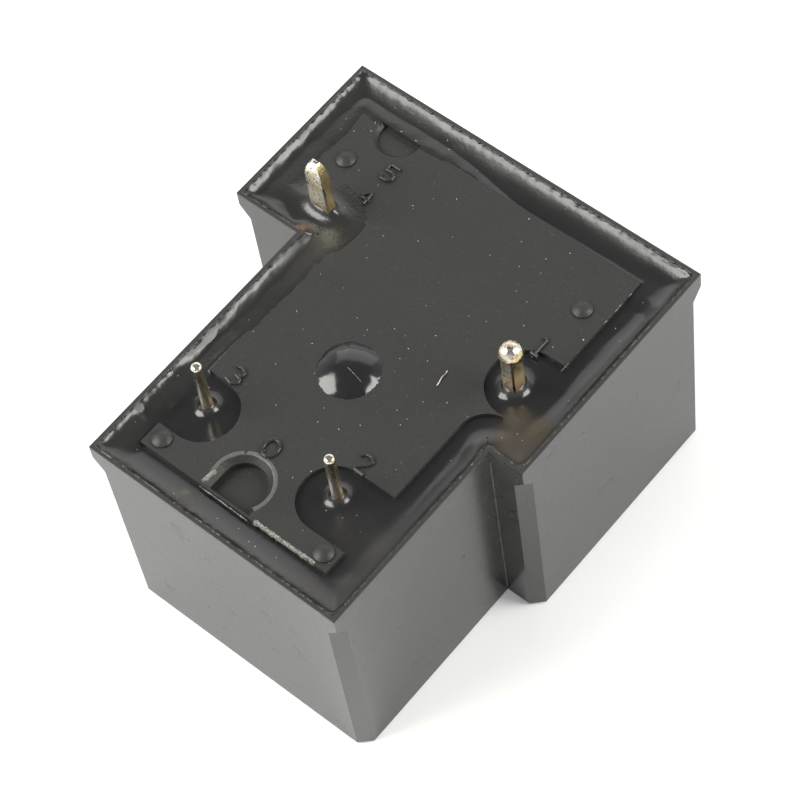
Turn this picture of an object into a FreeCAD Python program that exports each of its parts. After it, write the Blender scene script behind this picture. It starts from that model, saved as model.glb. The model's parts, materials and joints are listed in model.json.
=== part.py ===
import FreeCAD
import Part
import math
import os

# Sealed power relay for a circuit board, with one normally open contact.
# It lies on the closed face of its cover, at Z = 0, with its pins pointing up.
# X runs across the wide contact end, +Y points from the coil end to the contact end.
# All sizes are in millimetres.

V = FreeCAD.Vector

# Cover: one T-shaped box, open at the pin side
cover_width = 27.6
cover_height = 18.4
coil_end_left = 8.65
coil_end_right = 11.2
head_left_depth = 12.55
head_right_depth = 17.7
cover_wall = 0.9
cover_floor = 1.0
seat_ledge = 0.4
corner_chamfer = 0.8
chamfer_full_drop = 2.3
chamfer_tip_drop = 1.3
foot_radius = 0.3
rim_face = 0.25
rim_bevel_height = 0.7

# Base: flange that closes the cover, and the raised plateau around the pins
plateau_drop = 0.5
moat_depth = 1.0
flange_thickness = 1.5
base_gap = 0.1
moat_left = 1.15
moat_right = 1.9
moat_far = 1.5
moat_near = 1.45
moat_coil_right = 1.85
moat_left_notch = 1.8
cape_radius = 2.05
cape_blunt = 0.35
boss_radius = 0.66
boss_edge = 0.1
boss_dome = 0.24
boss_inset = 0.95
far_boss_inset = 1.7
far_boss_drop = 3.75
coil_well_radius = 2.35
coil_well_shift = 0.4
common_well_radius = 2.53
common_well_shift = (0.5, 0.4)
fixed_well_radius = 2.45
fixed_well_shift = (0.4, -0.65)
gate_pocket_x = 0.35
gate_pocket_inset = 1.7
gate_pocket_radius = 1.87
gate_pocket_depth = 0.9
gate_pocket_lip = 0.37
gate_dam = 0.15
vent_pocket_shift = 3.35
vent_pocket_inset = 0.35
vent_pocket_radius = 1.65
vent_pocket_depth = 0.4
vent_pocket_lip = 0.25
barrier_thickness = 0.8
barrier_height = 7.4
barrier_gap = 0.35
guide_wall = 0.7
guide_height = 1.8

# Resin that seals the base in the cover
resin_depth = 0.65
resin_climb = 0.62
resin_climb_width = 1.05
plug_drop = 0.05
plug_dome = 0.5

# Coil pins, round above the base and square where they sit in the bobbin
coil_pin_radius = 0.36
coil_pin_root = 0.9
coil_pin_left_x = -5.0
coil_pin_right_x = 5.6
coil_pin_inset = 6.8
coil_pin_rise = 4.1
coil_pin_round = 0.22
root_rise = 0.15
pin_gap = 0.05
pin_tail = 1.3

# Contact terminals, bent from strip
common_pin_offset = 0.225
common_pin_above_notch = 4.75
common_pin_rise = 4.1
common_pin_size = (0.98, 1.1)
fixed_pin_offset = 0.425
fixed_pin_above_notch = 2.65
fixed_pin_rise = 4.6
fixed_pin_size = (1.55, 0.78)
pin_corner = 0.14
leaf_length = 2.6
leaf_taper = 2.0
leaf_edge = 0.12
solder_drop_radius = 0.8
fold_width = 0.14
fold_depth = 0.5
terminal_gap = 0.05
common_strip_width = 4.6
common_strip_length = 6.6
fixed_strip_width = 3.6

# Magnet: core, yoke and bobbin share one axis, parallel to Z
magnet_x = 0.45
core_radius = 2.5
core_neck_radius = 1.6
pole_radius = 3.8
pole_thickness = 0.8
stake_radius = 1.9
stake_height = 0.5
stake_gap = 0.1
yoke_width = 8.0
yoke_thickness = 1.2
spring_room = 3.15
coil_gap = 2.05
yoke_overhang = 3.6
yoke_bend = 1.1
ear_width = 1.0
ear_length = 1.0
flange_lip = 0.4
bobbin_bore_gap = 0.05
bobbin_tube_wall = 0.75
bobbin_flange = 0.8
lug_width = 2.0
lug_height = 4.0
winding_radius = 5.7
tape_thickness = 0.1
lead_radius = 0.14
lead_wrap = 0.15

# Armature and moving contact, drawn closed and then swung open
pivot_z = 4.9
open_angle = 4.0
pole_gap = 0.05
yoke_end_gap = 0.02
armature_thickness = 1.2
armature_heel = 0.35
armature_reach = 6.5
ear_gap = 0.12
blade_thickness = 0.3
blade_width = 6.8
blade_start = 2.4
blade_corner = 1.2
rivet_radius = 0.6
rivet_head_radius = 1.0
rivet_head = 0.25
rivet_spacing = 4.0
rivet_inset = 1.4
contact_shift = -1.45
blade_overhang = 5.05
contact_room = 3.45
contact_radius = 1.75
contact_thickness = 0.8
contact_bevel = 0.2
contact_shank = 0.9
contact_tail_radius = 1.3
contact_tail = 0.25
contact_touch = 0.02
contact_margin = 0.15

# Springs, stop and braid
spring_thickness = 0.25
spring_width = 4.4
spring_leg = 7.5
spring_arm = 3.4
spring_bend = 0.45
spring_touch = 0.03
spring_rivet_radius = 0.8
spring_rivet_head = 0.35
spring_rivet_drop = 2.2
stop_width = 3.0
stop_thickness = 0.6
stop_wall_gap = 0.85
stop_touch = 0.05
stop_reach = 0.6
stop_root = 0.8
braid_radius = 0.5
braid_weld_shift = 2.45
braid_weld_inset = 4.7
braid_rise = 2.4
braid_end_rise = 1.4
braid_end_inset = 1.2
braid_end_run = 2.2
braid_end_sink = 0.2
braid_bend = 1.2

# Levels that follow from the sizes above
rim_z = cover_height
plateau_z = rim_z - plateau_drop
flange_z = plateau_z - moat_depth
seat_z = flange_z - flange_thickness
resin_z = flange_z + resin_depth
yoke_foot_z = seat_z - yoke_thickness
pole_z = pivot_z + pole_gap
bobbin_low_z = pole_z + pole_thickness
bobbin_high_z = yoke_foot_z
winding_low_z = bobbin_low_z + bobbin_flange
winding_high_z = bobbin_high_z - bobbin_flange
armature_low_z = pivot_z - armature_thickness
blade_low_z = armature_low_z - blade_thickness
contact_face_z = armature_low_z + contact_thickness
tab_low_z = contact_face_z + contact_touch + contact_thickness
strip_thickness = fixed_pin_size[1]

# Places that follow from the sizes above
half_width = cover_width / 2
bobbin_side = 2 * (winding_radius + tape_thickness + flange_lip)
contact_end = contact_radius + contact_margin + contact_room
yoke_to_magnet = yoke_thickness + coil_gap + bobbin_side / 2
room_length = spring_room + yoke_to_magnet + armature_reach + blade_overhang + contact_end
cover_length = room_length + 2 * (cover_wall + seat_ledge)
half_length = cover_length / 2
left_notch_y = half_length - head_left_depth
right_notch_y = half_length - head_right_depth
coil_pin_y = -half_length + coil_pin_inset
yoke_back_y = -room_length / 2 + spring_room
magnet_y = yoke_back_y + yoke_to_magnet
contact_x = magnet_x + contact_shift
contact_y = magnet_y + armature_reach + blade_overhang
room_half_width = half_width - cover_wall - seat_ledge
bobbin_right_x = magnet_x + bobbin_side / 2
bobbin_left_x = magnet_x - bobbin_side / 2
common_pin_x = (bobbin_right_x + room_half_width) / 2 - common_pin_offset
common_pin_y = right_notch_y + common_pin_above_notch
fixed_pin_x = (bobbin_left_x - room_half_width) / 2 + fixed_pin_offset
fixed_pin_y = left_notch_y + fixed_pin_above_notch
plateau_left = -half_width + cover_wall + moat_left
plateau_right = half_width - cover_wall - moat_right
plateau_far = half_length - cover_wall - moat_far
plateau_near = -half_length + cover_wall + moat_near
plateau_coil_left = -coil_end_left + cover_wall + moat_left
plateau_coil_right = coil_end_right - cover_wall - moat_coil_right
plateau_left_step = left_notch_y + cover_wall + moat_left_notch
gate_pocket_y = plateau_near + gate_pocket_inset
vent_pocket_x = plateau_left + vent_pocket_shift
vent_pocket_y = plateau_far - vent_pocket_inset
boss_places = [(plateau_left + far_boss_inset, plateau_far - far_boss_drop),
               (plateau_right - far_boss_inset, plateau_far - far_boss_drop),
               (plateau_coil_left + boss_inset, plateau_near + boss_inset),
               (plateau_coil_right - boss_inset, plateau_near + boss_inset)]
common_well_x = common_pin_x + common_well_shift[0]
common_well_y = common_pin_y + common_well_shift[1]
common_well_top = common_well_y + common_well_radius
fixed_well_x = fixed_pin_x + fixed_well_shift[0]
fixed_well_y = fixed_pin_y + fixed_well_shift[1]
coil_well_y = coil_pin_y - coil_well_shift
coil_pins_x = (coil_pin_left_x, coil_pin_right_x)
armature_far = magnet_y + armature_reach
rivet_y = armature_far - rivet_inset
blade_far = contact_y + contact_radius + contact_margin
braid_weld_x = magnet_x + braid_weld_shift
braid_weld_y = blade_far - braid_weld_inset


def box(x0, x1, y0, y1, z0, z1):
    """Box between two corners."""
    return Part.makeBox(x1 - x0, y1 - y0, z1 - z0, V(x0, y0, z0))


def rod(x, y, z0, z1, radius):
    """Upright round bar."""
    return Part.makeCylinder(radius, z1 - z0, V(x, y, z0))


def fused(shapes):
    """One solid from several that touch or overlap."""
    whole = shapes[0]
    for shape in shapes[1:]:
        whole = whole.fuse(shape)
    return whole.removeSplitter()


def t_points(inset, z):
    """Corners of the T outline, moved inwards by inset, at height z."""
    left = -half_width + inset
    right = half_width - inset
    far = half_length - inset
    near = -half_length + inset
    coil_left = -coil_end_left + inset
    coil_right = coil_end_right - inset
    plan = [(left, far), (right, far), (right, right_notch_y + inset),
            (coil_right, right_notch_y + inset), (coil_right, near), (coil_left, near),
            (coil_left, left_notch_y + inset), (left, left_notch_y + inset)]
    return [V(x, y, z) for x, y in plan]


def closed_wire(points):
    """Closed polygon through the points."""
    return Part.makePolygon(points + points[:1])


def t_prism(inset, z0, z1):
    """Upright block with the T outline."""
    return Part.Face(closed_wire(t_points(inset, z0))).extrude(V(0, 0, z1 - z0))


def t_taper(inset0, z0, inset1, z1):
    """T block whose walls lean from one inset to another."""
    wires = [closed_wire(t_points(inset0, z0)), closed_wire(t_points(inset1, z1))]
    return Part.makeLoft(wires, True, True)


def corner_cutter(corner, out_x, out_y):
    """Wedge that bevels an upright outer corner and runs out below the rim."""
    depth = corner_chamfer / math.sqrt(2)
    run_out = chamfer_full_drop - chamfer_tip_drop
    full_z = rim_z - chamfer_full_drop
    half_side = 3 * corner_chamfer
    low = -corner_chamfer
    profile = [(0, low), (0, full_z), (2 * depth, full_z + 2 * run_out), (2 * depth, low)]
    outward = V(out_x, out_y, 0).normalize()
    along = V(-out_y, out_x, 0).normalize()
    start = corner - outward * depth - along * half_side
    points = [start + outward * r + V(0, 0, z) for r, z in profile]
    return Part.Face(closed_wire(points)).extrude(along * (2 * half_side))


def outer_corners():
    """Outer corners that are bevelled, each with the way it points."""
    return [(V(-half_width, half_length, 0), -1, 1), (V(half_width, half_length, 0), 1, 1),
            (V(half_width, right_notch_y, 0), 1, -1), (V(coil_end_right, -half_length, 0), 1, -1),
            (V(-coil_end_left, -half_length, 0), -1, -1), (V(-half_width, left_notch_y, 0), -1, -1)]


def make_cover():
    """Moulded cover with bevelled corners, a ledge for the base and a bevelled rim."""
    body = t_prism(0, 0, rim_z)
    for corner, out_x, out_y in outer_corners():
        body = body.cut(corner_cutter(corner, out_x, out_y))
    foot_edges = [e for e in body.Edges if e.BoundBox.ZMax < 1e-6]
    body = body.makeFillet(foot_radius, foot_edges)
    cavity = t_prism(cover_wall + seat_ledge, cover_floor, seat_z)
    mouth = t_prism(cover_wall, seat_z, rim_z + rim_bevel_height)
    bevel = t_taper(cover_wall, rim_z - rim_bevel_height, rim_face, rim_z)
    return body.cut(cavity).cut(mouth).cut(bevel)


def rounded_bar(x, y, size, z0, z1):
    """Upright bar of rectangular section with eased corners."""
    bar = box(x - size[0] / 2, x + size[0] / 2, y - size[1] / 2, y + size[1] / 2, z0, z1)
    upright = [e for e in bar.Edges if e.BoundBox.ZLength > 1e-6]
    return bar.makeFillet(pin_corner, upright)


def plateau_block():
    """Raised table of the base, with its wells, before pockets and bosses."""
    low = flange_z
    top = plateau_z
    table = fused([
        box(plateau_coil_left, plateau_coil_right, plateau_near, plateau_far, low, top),
        box(plateau_left, plateau_coil_left + moat_left, plateau_left_step, plateau_far, low, top),
        box(plateau_coil_right - moat_right, plateau_right, common_well_top, plateau_far, low, top),
    ])
    cape_low = common_well_y - common_well_radius - cape_radius
    cape_tip = plateau_coil_right + cape_radius - cape_blunt
    cape = box(plateau_coil_right - moat_right, cape_tip, cape_low, common_well_top, low, top)
    cape = cape.cut(rod(plateau_coil_right + cape_radius, cape_low, low, top, cape_radius))
    table = fused([table, cape])
    table = table.cut(rod(common_well_x, common_well_y, low, top + plateau_drop, common_well_radius))
    table = table.cut(rod(fixed_well_x, fixed_well_y, low, top + plateau_drop, fixed_well_radius))
    well_low = coil_well_y - coil_well_radius
    well_high = coil_well_y + coil_well_radius
    outside = half_width
    for x, side in ((coil_pin_left_x, -outside), (coil_pin_right_x, outside)):
        table = table.cut(rod(x, coil_well_y, low, top + plateau_drop, coil_well_radius))
        table = table.cut(box(min(x, side), max(x, side), well_low, well_high, low, top + plateau_drop))
    return table


def pocket(x, y, radius, depth, lip, y_end):
    """Half-round pocket that runs straight from its arc to y_end, wider at its lip."""
    low = plateau_z - depth
    high = plateau_z + 2 * boss_edge
    inner = radius - lip
    arc_end = y + math.copysign(radius, y - y_end)
    half = box(x - radius, x + radius, min(y, arc_end), max(y, arc_end), low, high)
    arc = rod(x, y, low, high, inner).common(half)
    straight = box(x - inner, x + inner, min(y, y_end), max(y, y_end), low, high)
    lip_z = plateau_z - lip
    flare = Part.makeCone(inner, radius + lip, 2 * lip, V(x, y, lip_z)).common(half)
    outer = radius + lip
    outer_z = lip_z + 2 * lip
    profile = closed_wire([V(x - inner, y, lip_z), V(x + inner, y, lip_z),
                           V(x + outer, y, outer_z), V(x - outer, y, outer_z)])
    trough = Part.Face(profile).extrude(V(0, y_end - y, 0))
    return fused([arc, straight, flare, trough])


def boss(x, y):
    """Low round stud with a domed top."""
    edge_z = plateau_z + boss_edge
    ball_radius = (boss_radius ** 2 + boss_dome ** 2) / (2 * boss_dome)
    ball = Part.makeSphere(ball_radius, V(x, y, edge_z + boss_dome - ball_radius))
    return rod(x, y, plateau_z, edge_z + 2 * boss_dome, boss_radius).common(ball)


def strip_guide(x0, x1, y0, y1):
    """Moulded block under the flange that grips a terminal strip."""
    return box(x0 - guide_wall, x1 + guide_wall, y0 - guide_wall, y1 + guide_wall,
               seat_z - guide_height, seat_z)


def fixed_strip_span():
    """Sides of the fixed terminal's upright strip, inside the cover."""
    half = fixed_strip_width / 2
    return (fixed_pin_x - half, fixed_pin_x + half,
            fixed_pin_y - strip_thickness / 2, fixed_pin_y + strip_thickness / 2)


def common_strip_span():
    """Sides of the common terminal's upright strip, inside the cover."""
    y0 = common_pin_y - common_pin_size[1] / 2
    return (common_pin_x - common_pin_size[0] / 2, common_pin_x + common_pin_size[0] / 2,
            y0, y0 + common_strip_width)


def strip_slot(span):
    """Slot in the base for a strip and its shoulder."""
    x0, x1, y0, y1 = span
    return box(x0 - terminal_gap, x1 + terminal_gap, y0 - terminal_gap, y1 + terminal_gap,
               seat_z - guide_height, seat_z)


def make_base():
    """Moulded base: flange, plateau with wells and pockets, barrier and strip guides."""
    flange = t_prism(cover_wall + base_gap, seat_z, flange_z)
    base = fused([flange, plateau_block()])
    base = base.cut(pocket(gate_pocket_x, gate_pocket_y, gate_pocket_radius, gate_pocket_depth,
                           gate_pocket_lip, plateau_near + gate_dam))
    base = base.cut(pocket(vent_pocket_x, vent_pocket_y, vent_pocket_radius, vent_pocket_depth,
                           vent_pocket_lip, plateau_far + moat_far))
    barrier_y = magnet_y + bobbin_side / 2 + barrier_gap
    barrier = box(magnet_x - bobbin_side / 2, magnet_x + bobbin_side / 2,
                  barrier_y, barrier_y + barrier_thickness, seat_z - barrier_height, seat_z)
    guides = [strip_guide(*fixed_strip_span()), strip_guide(*common_strip_span())]
    base = fused([base, barrier] + guides + [boss(x, y) for x, y in boss_places])
    for x in coil_pins_x:
        hole = coil_pin_root / 2 + pin_gap
        base = base.cut(box(x - hole, x + hole, coil_pin_y - hole, coil_pin_y + hole, seat_z, flange_z))
    base = base.cut(rod(magnet_x, magnet_y, seat_z, plateau_z, stake_radius + stake_gap))
    for span in (fixed_strip_span(), common_strip_span()):
        base = base.cut(strip_slot(span))
    x0, x1, y0, y1 = stop_span()
    base = base.cut(box(x0, x1, y1 - stop_thickness, y1, seat_z, seat_z + stop_root))
    contact_pins = ((fixed_pin_x, fixed_pin_y, fixed_pin_size),
                    (common_pin_x, common_pin_y, common_pin_size))
    for x, y, size in contact_pins:
        wide = size[0] / 2 + terminal_gap
        deep = size[1] / 2 + terminal_gap
        base = base.cut(box(x - wide, x + wide, y - deep, y + deep, seat_z, flange_z))
    return base.removeSplitter()


def make_potting(base, cover, pins):
    """Resin in the moat and the wells, which climbs the wall of the cover."""
    top_z = resin_z + resin_climb
    climb_inset = rim_face + (rim_z - top_z) / rim_bevel_height * (cover_wall - rim_face)
    block = fused([t_prism(cover_wall, flange_z, rim_z - rim_bevel_height),
                   t_taper(cover_wall, rim_z - rim_bevel_height, climb_inset, top_z)])
    dish = t_taper(climb_inset + resin_climb_width, resin_z, climb_inset, top_z)
    resin = block.cut(dish).cut(base).cut(cover)
    keep_out = [rod(magnet_x, magnet_y, flange_z, rim_z, stake_radius + stake_gap + 0.5)]
    keep_out += [pocket(gate_pocket_x, gate_pocket_y, gate_pocket_radius, gate_pocket_depth,
                        gate_pocket_lip, plateau_near + gate_dam / 2)]
    keep_out += [box(vent_pocket_x - vent_pocket_radius, vent_pocket_x + vent_pocket_radius,
                     vent_pocket_y - vent_pocket_radius, plateau_far, flange_z, rim_z)]
    for solid in keep_out + pins:
        resin = resin.cut(solid)
    return resin


def make_core_plug():
    """Drop of resin over the core's staked end, domed on top."""
    radius = stake_radius + stake_gap
    edge_z = plateau_z - plug_drop
    ball_radius = (radius ** 2 + plug_dome ** 2) / (2 * plug_dome)
    ball = Part.makeSphere(ball_radius, V(magnet_x, magnet_y, edge_z + plug_dome - ball_radius))
    return rod(magnet_x, magnet_y, seat_z + stake_height, edge_z + 2 * plug_dome, radius).common(ball)


def make_coil_pin(x):
    """Round pin with a rounded tip on a square root."""
    round_z = resin_z + root_rise
    tip_z = rim_z + coil_pin_rise
    half = coil_pin_root / 2
    root = box(x - half, x + half, coil_pin_y - half, coil_pin_y + half,
               seat_z - lug_height - pin_tail, round_z)
    shaft = rod(x, coil_pin_y, round_z, tip_z, coil_pin_radius)
    tip_edge = [e for e in shaft.Edges if e.BoundBox.ZMin > tip_z - 1e-6]
    return fused([root, shaft.makeFillet(coil_pin_round, tip_edge)])


def arch_profile(half, edge, length, tip_z, along):
    """Upright profile that narrows to an elliptic end; along is its sideways direction."""
    steps = [i * math.pi / 16 for i in range(9)]
    right = [along * (edge + (half - edge) * math.cos(t)) + V(0, 0, tip_z - length + length * math.sin(t))
             for t in steps]
    left = [V(-p.x, -p.y, p.z) for p in reversed(right)]
    curves = []
    for points in (right, left):
        curve = Part.BSplineCurve()
        curve.interpolate(points)
        curves.append(curve.toShape())
    lines = [(right[-1], left[0]), (left[-1], along * -half + V(0, 0, seat_z)),
             (along * -half + V(0, 0, seat_z), along * half + V(0, 0, seat_z)),
             (along * half + V(0, 0, seat_z), right[0])]
    straight = [Part.LineSegment(a, b).toShape() for a, b in lines]
    return Part.Face(Part.Wire([curves[0], straight[0], curves[1]] + straight[1:]))


def make_fixed_pin():
    """Flat pin shaped like a leaf: it narrows both ways to a rounded end."""
    tip_z = rim_z + fixed_pin_rise
    width, thickness = fixed_pin_size
    bar = rounded_bar(0, 0, fixed_pin_size, seat_z, tip_z)
    face = arch_profile(width / 2, leaf_edge, leaf_length, tip_z, V(1, 0, 0))
    leaf = face.extrude(V(0, 2 * thickness, 0))
    leaf.translate(V(0, -thickness, 0))
    side = arch_profile(thickness / 2, leaf_edge, leaf_taper, tip_z, V(0, 1, 0))
    slab = side.extrude(V(2 * width, 0, 0))
    slab.translate(V(-width, 0, 0))
    pin = bar.common(leaf).common(slab)
    pin.translate(V(fixed_pin_x, fixed_pin_y, 0))
    return pin


def make_common_pin():
    """Folded pin with a slit down one corner and a solder drop at its end."""
    x, y = common_pin_x, common_pin_y
    centre_z = rim_z + common_pin_rise - solder_drop_radius
    bar = rounded_bar(x, y, common_pin_size, seat_z, centre_z)
    near = V(x + common_pin_size[0] / 2, y - common_pin_size[1] / 2, 0)
    slit = box(-fold_depth, fold_depth, -fold_width / 2, fold_width / 2, resin_z, centre_z)
    slit.rotate(V(0, 0, 0), V(0, 0, 1), -45)
    slit.translate(near)
    return fused([bar.cut(slit), Part.makeSphere(solder_drop_radius, V(x, y, centre_z))])


def make_fixed_terminal():
    """Strip that hangs from the base and turns flat to carry the fixed contact."""
    x0, x1, y0, y1 = fixed_strip_span()
    pin = make_fixed_pin()
    upright = box(x0, x1, y0, y1, tab_low_z, seat_z)
    tab_high_z = tab_low_z + strip_thickness
    tab_far = contact_y + contact_radius + contact_margin
    tab_right = contact_x + contact_radius + contact_margin
    foot = box(x0, x1, y0, tab_far, tab_low_z, tab_high_z)
    arm = box(x0, tab_right, contact_y - contact_radius - contact_margin, tab_far, tab_low_z, tab_high_z)
    strip = fused([pin, upright, foot, arm])
    return strip.cut(rod(contact_x, contact_y, tab_low_z, tab_high_z, contact_shank))


def make_common_terminal():
    """Strip that hangs from the base beside the coil, for the braid."""
    x0, x1, y0, y1 = common_strip_span()
    return fused([make_common_pin(), box(x0, x1, y0, y1, seat_z - common_strip_length, seat_z)])


def rivet(x, y, face_z, head_down, span, head_radius, head, shank, tail_radius, tail):
    """Rivet with its head on one side of a sheet and its tail on the other."""
    way = -1 if head_down else 1
    points = [V(0, 0, head * way), V(head_radius - contact_bevel, 0, head * way),
              V(head_radius, 0, (head - contact_bevel) * way), V(head_radius, 0, 0), V(shank, 0, 0),
              V(shank, 0, -span * way), V(tail_radius, 0, -span * way),
              V(tail_radius, 0, -(span + tail) * way), V(0, 0, -(span + tail) * way)]
    solid = Part.Face(closed_wire(points)).revolve(V(0, 0, 0), V(0, 0, 1), 360)
    solid.translate(V(x, y, face_z))
    return solid


def make_fixed_contact():
    """Silver rivet that faces the moving contact."""
    return rivet(contact_x, contact_y, tab_low_z, True, strip_thickness, contact_radius,
                 contact_thickness, contact_shank, contact_tail_radius, contact_tail)


def make_core():
    """Soft iron core with a wide pole, staked through the yoke."""
    return fused([rod(magnet_x, magnet_y, pole_z, bobbin_low_z, pole_radius),
                  rod(magnet_x, magnet_y, bobbin_low_z, yoke_foot_z, core_radius),
                  rod(magnet_x, magnet_y, yoke_foot_z, seat_z, core_neck_radius),
                  rod(magnet_x, magnet_y, seat_z, seat_z + stake_height, stake_radius)])


def make_yoke():
    """L-shaped yoke with two ears that keep the armature from sliding sideways."""
    x0 = magnet_x - yoke_width / 2
    x1 = magnet_x + yoke_width / 2
    front = yoke_back_y + yoke_thickness
    end_z = pivot_z + yoke_end_gap
    leg = box(x0, x1, yoke_back_y, front, end_z, seat_z)
    foot = box(x0, x1, yoke_back_y, magnet_y + yoke_overhang, yoke_foot_z, seat_z)
    body = fused([leg, foot])
    bend = [e for e in body.Edges
            if e.BoundBox.YMax < yoke_back_y + 1e-6 and e.BoundBox.ZMin > seat_z - 1e-6]
    body = body.makeFillet(yoke_bend, bend)
    ears = [box(x0, x0 + ear_width, yoke_back_y, front, end_z - ear_length, end_z),
            box(x1 - ear_width, x1, yoke_back_y, front, end_z - ear_length, end_z)]
    body = fused([body] + ears)
    body = body.cut(rod(magnet_x, magnet_y, yoke_foot_z, seat_z, core_neck_radius))
    stud = Part.makeCylinder(spring_rivet_radius, yoke_thickness,
                             V(magnet_x, yoke_back_y, spring_rivet_z()), V(0, 1, 0))
    return body.cut(stud)


def make_bobbin(pins):
    """Coil former: tube, two square flanges and a lug for each pin."""
    half = bobbin_side / 2
    tube = core_radius + bobbin_bore_gap + bobbin_tube_wall
    x0, x1 = magnet_x - half, magnet_x + half
    y0, y1 = magnet_y - half, magnet_y + half
    parts = [box(x0, x1, y0, y1, bobbin_low_z, winding_low_z),
             rod(magnet_x, magnet_y, bobbin_low_z, bobbin_high_z, tube),
             box(x0, x1, y0, y1, winding_high_z, bobbin_high_z)]
    for x in coil_pins_x:
        parts.append(box(x - lug_width / 2, x + lug_width / 2, coil_pin_y - lug_width / 2, y0,
                         seat_z - lug_height, seat_z))
    former = fused(parts)
    former = former.cut(rod(magnet_x, magnet_y, bobbin_low_z, bobbin_high_z, core_radius + bobbin_bore_gap))
    for pin in pins:
        former = former.cut(pin)
    return former


def ring(inner, outer):
    """Round sleeve around the magnet axis, between the bobbin flanges."""
    solid = rod(magnet_x, magnet_y, winding_low_z, winding_high_z, outer)
    return solid.cut(rod(magnet_x, magnet_y, winding_low_z, winding_high_z, inner))


def make_lead(x, pin):
    """End of the coil wire, soldered round the foot of its pin."""
    z = seat_z - lug_height - pin_tail / 2
    start = V(magnet_x, magnet_y, z)
    way = V(x, coil_pin_y, z) - start
    length = way.Length
    way.normalize()
    surface = winding_radius + tape_thickness
    wire = Part.makeCylinder(lead_radius, length - surface, start + way * surface, way)
    collar = coil_pin_root / math.sqrt(2) + lead_wrap
    wrap = rod(x, coil_pin_y, z - 2 * lead_radius, z + 2 * lead_radius, collar)
    return fused([wire, wrap]).cut(pin).cut(ring(winding_radius, surface))


def opened(shape):
    """The shape as it stands with the armature dropped away from the pole."""
    moved = shape.copy()
    moved.rotate(V(0, yoke_back_y, pivot_z), V(1, 0, 0), -open_angle)
    return moved


def make_armature():
    """Flat iron armature, notched at its heel for the ears of the yoke."""
    heel_y = yoke_back_y + armature_heel
    x0 = magnet_x - yoke_width / 2
    x1 = magnet_x + yoke_width / 2
    plate = box(x0, x1, heel_y, armature_far, armature_low_z, pivot_z)
    notch_far = yoke_back_y + yoke_thickness + ear_gap
    notch = ear_width + ear_gap
    for a, b in ((x0, x0 + notch), (x1 - notch, x1)):
        plate = plate.cut(box(a, b, heel_y, notch_far, armature_low_z, pivot_z))
    for x in rivet_places():
        plate = plate.cut(rod(x, rivet_y, armature_low_z, pivot_z, rivet_radius))
    return opened(plate)


def rivet_places():
    """X places of the two rivets that hold the blade on the armature."""
    return (magnet_x - rivet_spacing / 2, magnet_x + rivet_spacing / 2)


def closed_blade():
    """Contact blade as it lies when the contact is closed."""
    x0 = magnet_x - blade_width / 2
    x1 = magnet_x + blade_width / 2
    y0 = armature_far - blade_start
    plate = box(x0, x1, y0, blade_far, blade_low_z, armature_low_z)
    ends = [e for e in plate.Edges if e.BoundBox.ZLength > 1e-6 and e.BoundBox.YMin > blade_far - 1e-6]
    plate = plate.makeFillet(blade_corner, ends)
    for x in rivet_places():
        plate = plate.cut(rod(x, rivet_y, blade_low_z, armature_low_z, rivet_radius))
    return plate.cut(rod(contact_x, contact_y, blade_low_z, armature_low_z, contact_shank))


def make_blade_rivets():
    """Two rivets through armature and blade."""
    low = blade_low_z - rivet_head
    solids = []
    for x in rivet_places():
        solids.append(fused([rod(x, rivet_y, low, blade_low_z, rivet_head_radius),
                             rod(x, rivet_y, blade_low_z, pivot_z, rivet_radius),
                             rod(x, rivet_y, pivot_z, pivot_z + rivet_head, rivet_head_radius)]))
    return opened(Part.makeCompound(solids))


def make_moving_contact():
    """Silver rivet at the free end of the blade."""
    return opened(rivet(contact_x, contact_y, armature_low_z, False, blade_thickness, contact_radius,
                        contact_thickness, contact_shank, contact_tail_radius, contact_tail))


def spring_rivet_z():
    """Height of the stud that holds the return spring on the yoke."""
    return seat_z - yoke_thickness - spring_rivet_drop


def make_return_spring():
    """Leaf spring from the back of the yoke, round the heel and under the armature."""
    half = spring_thickness / 2
    heel_low = armature_low_z - spring_touch - half
    y_leg = yoke_back_y - half
    tilt = math.radians(open_angle)
    along = V(0, math.cos(tilt), -math.sin(tilt))
    hinge = V(magnet_x, yoke_back_y, pivot_z)
    below = V(0, -math.sin(tilt), -math.cos(tilt)) * (pivot_z - heel_low)
    arm_line = hinge + below
    run_in = (y_leg - arm_line.y) / along.y
    corner = arm_line + along * run_in
    turn = math.pi / 2 - tilt
    cut_back = spring_bend * math.tan(turn / 2)
    leg_end = corner + V(0, 0, cut_back)
    arm_start = corner + along * cut_back
    centre = leg_end + V(0, spring_bend, 0)
    chord_mid = (leg_end + arm_start) * 0.5 - centre
    middle = centre + chord_mid.normalize() * spring_bend
    top = V(magnet_x, y_leg, yoke_foot_z - spring_rivet_drop + spring_rivet_radius * 2)
    bend = Part.Arc(leg_end, middle, arm_start).toShape()
    path = Part.Wire([Part.LineSegment(top, leg_end).toShape(), bend,
                      Part.LineSegment(arm_start, arm_start + along * spring_arm).toShape()])
    wide = spring_width / 2
    section = closed_wire([top + V(-wide, -half, 0), top + V(wide, -half, 0),
                           top + V(wide, half, 0), top + V(-wide, half, 0)])
    leaf = path.makePipeShell([section], True, False)
    stud = Part.makeCylinder(spring_rivet_radius, 4 * spring_thickness,
                             V(magnet_x, yoke_back_y - 2 * spring_thickness, spring_rivet_z()), V(0, 1, 0))
    return leaf.cut(stud)


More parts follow.
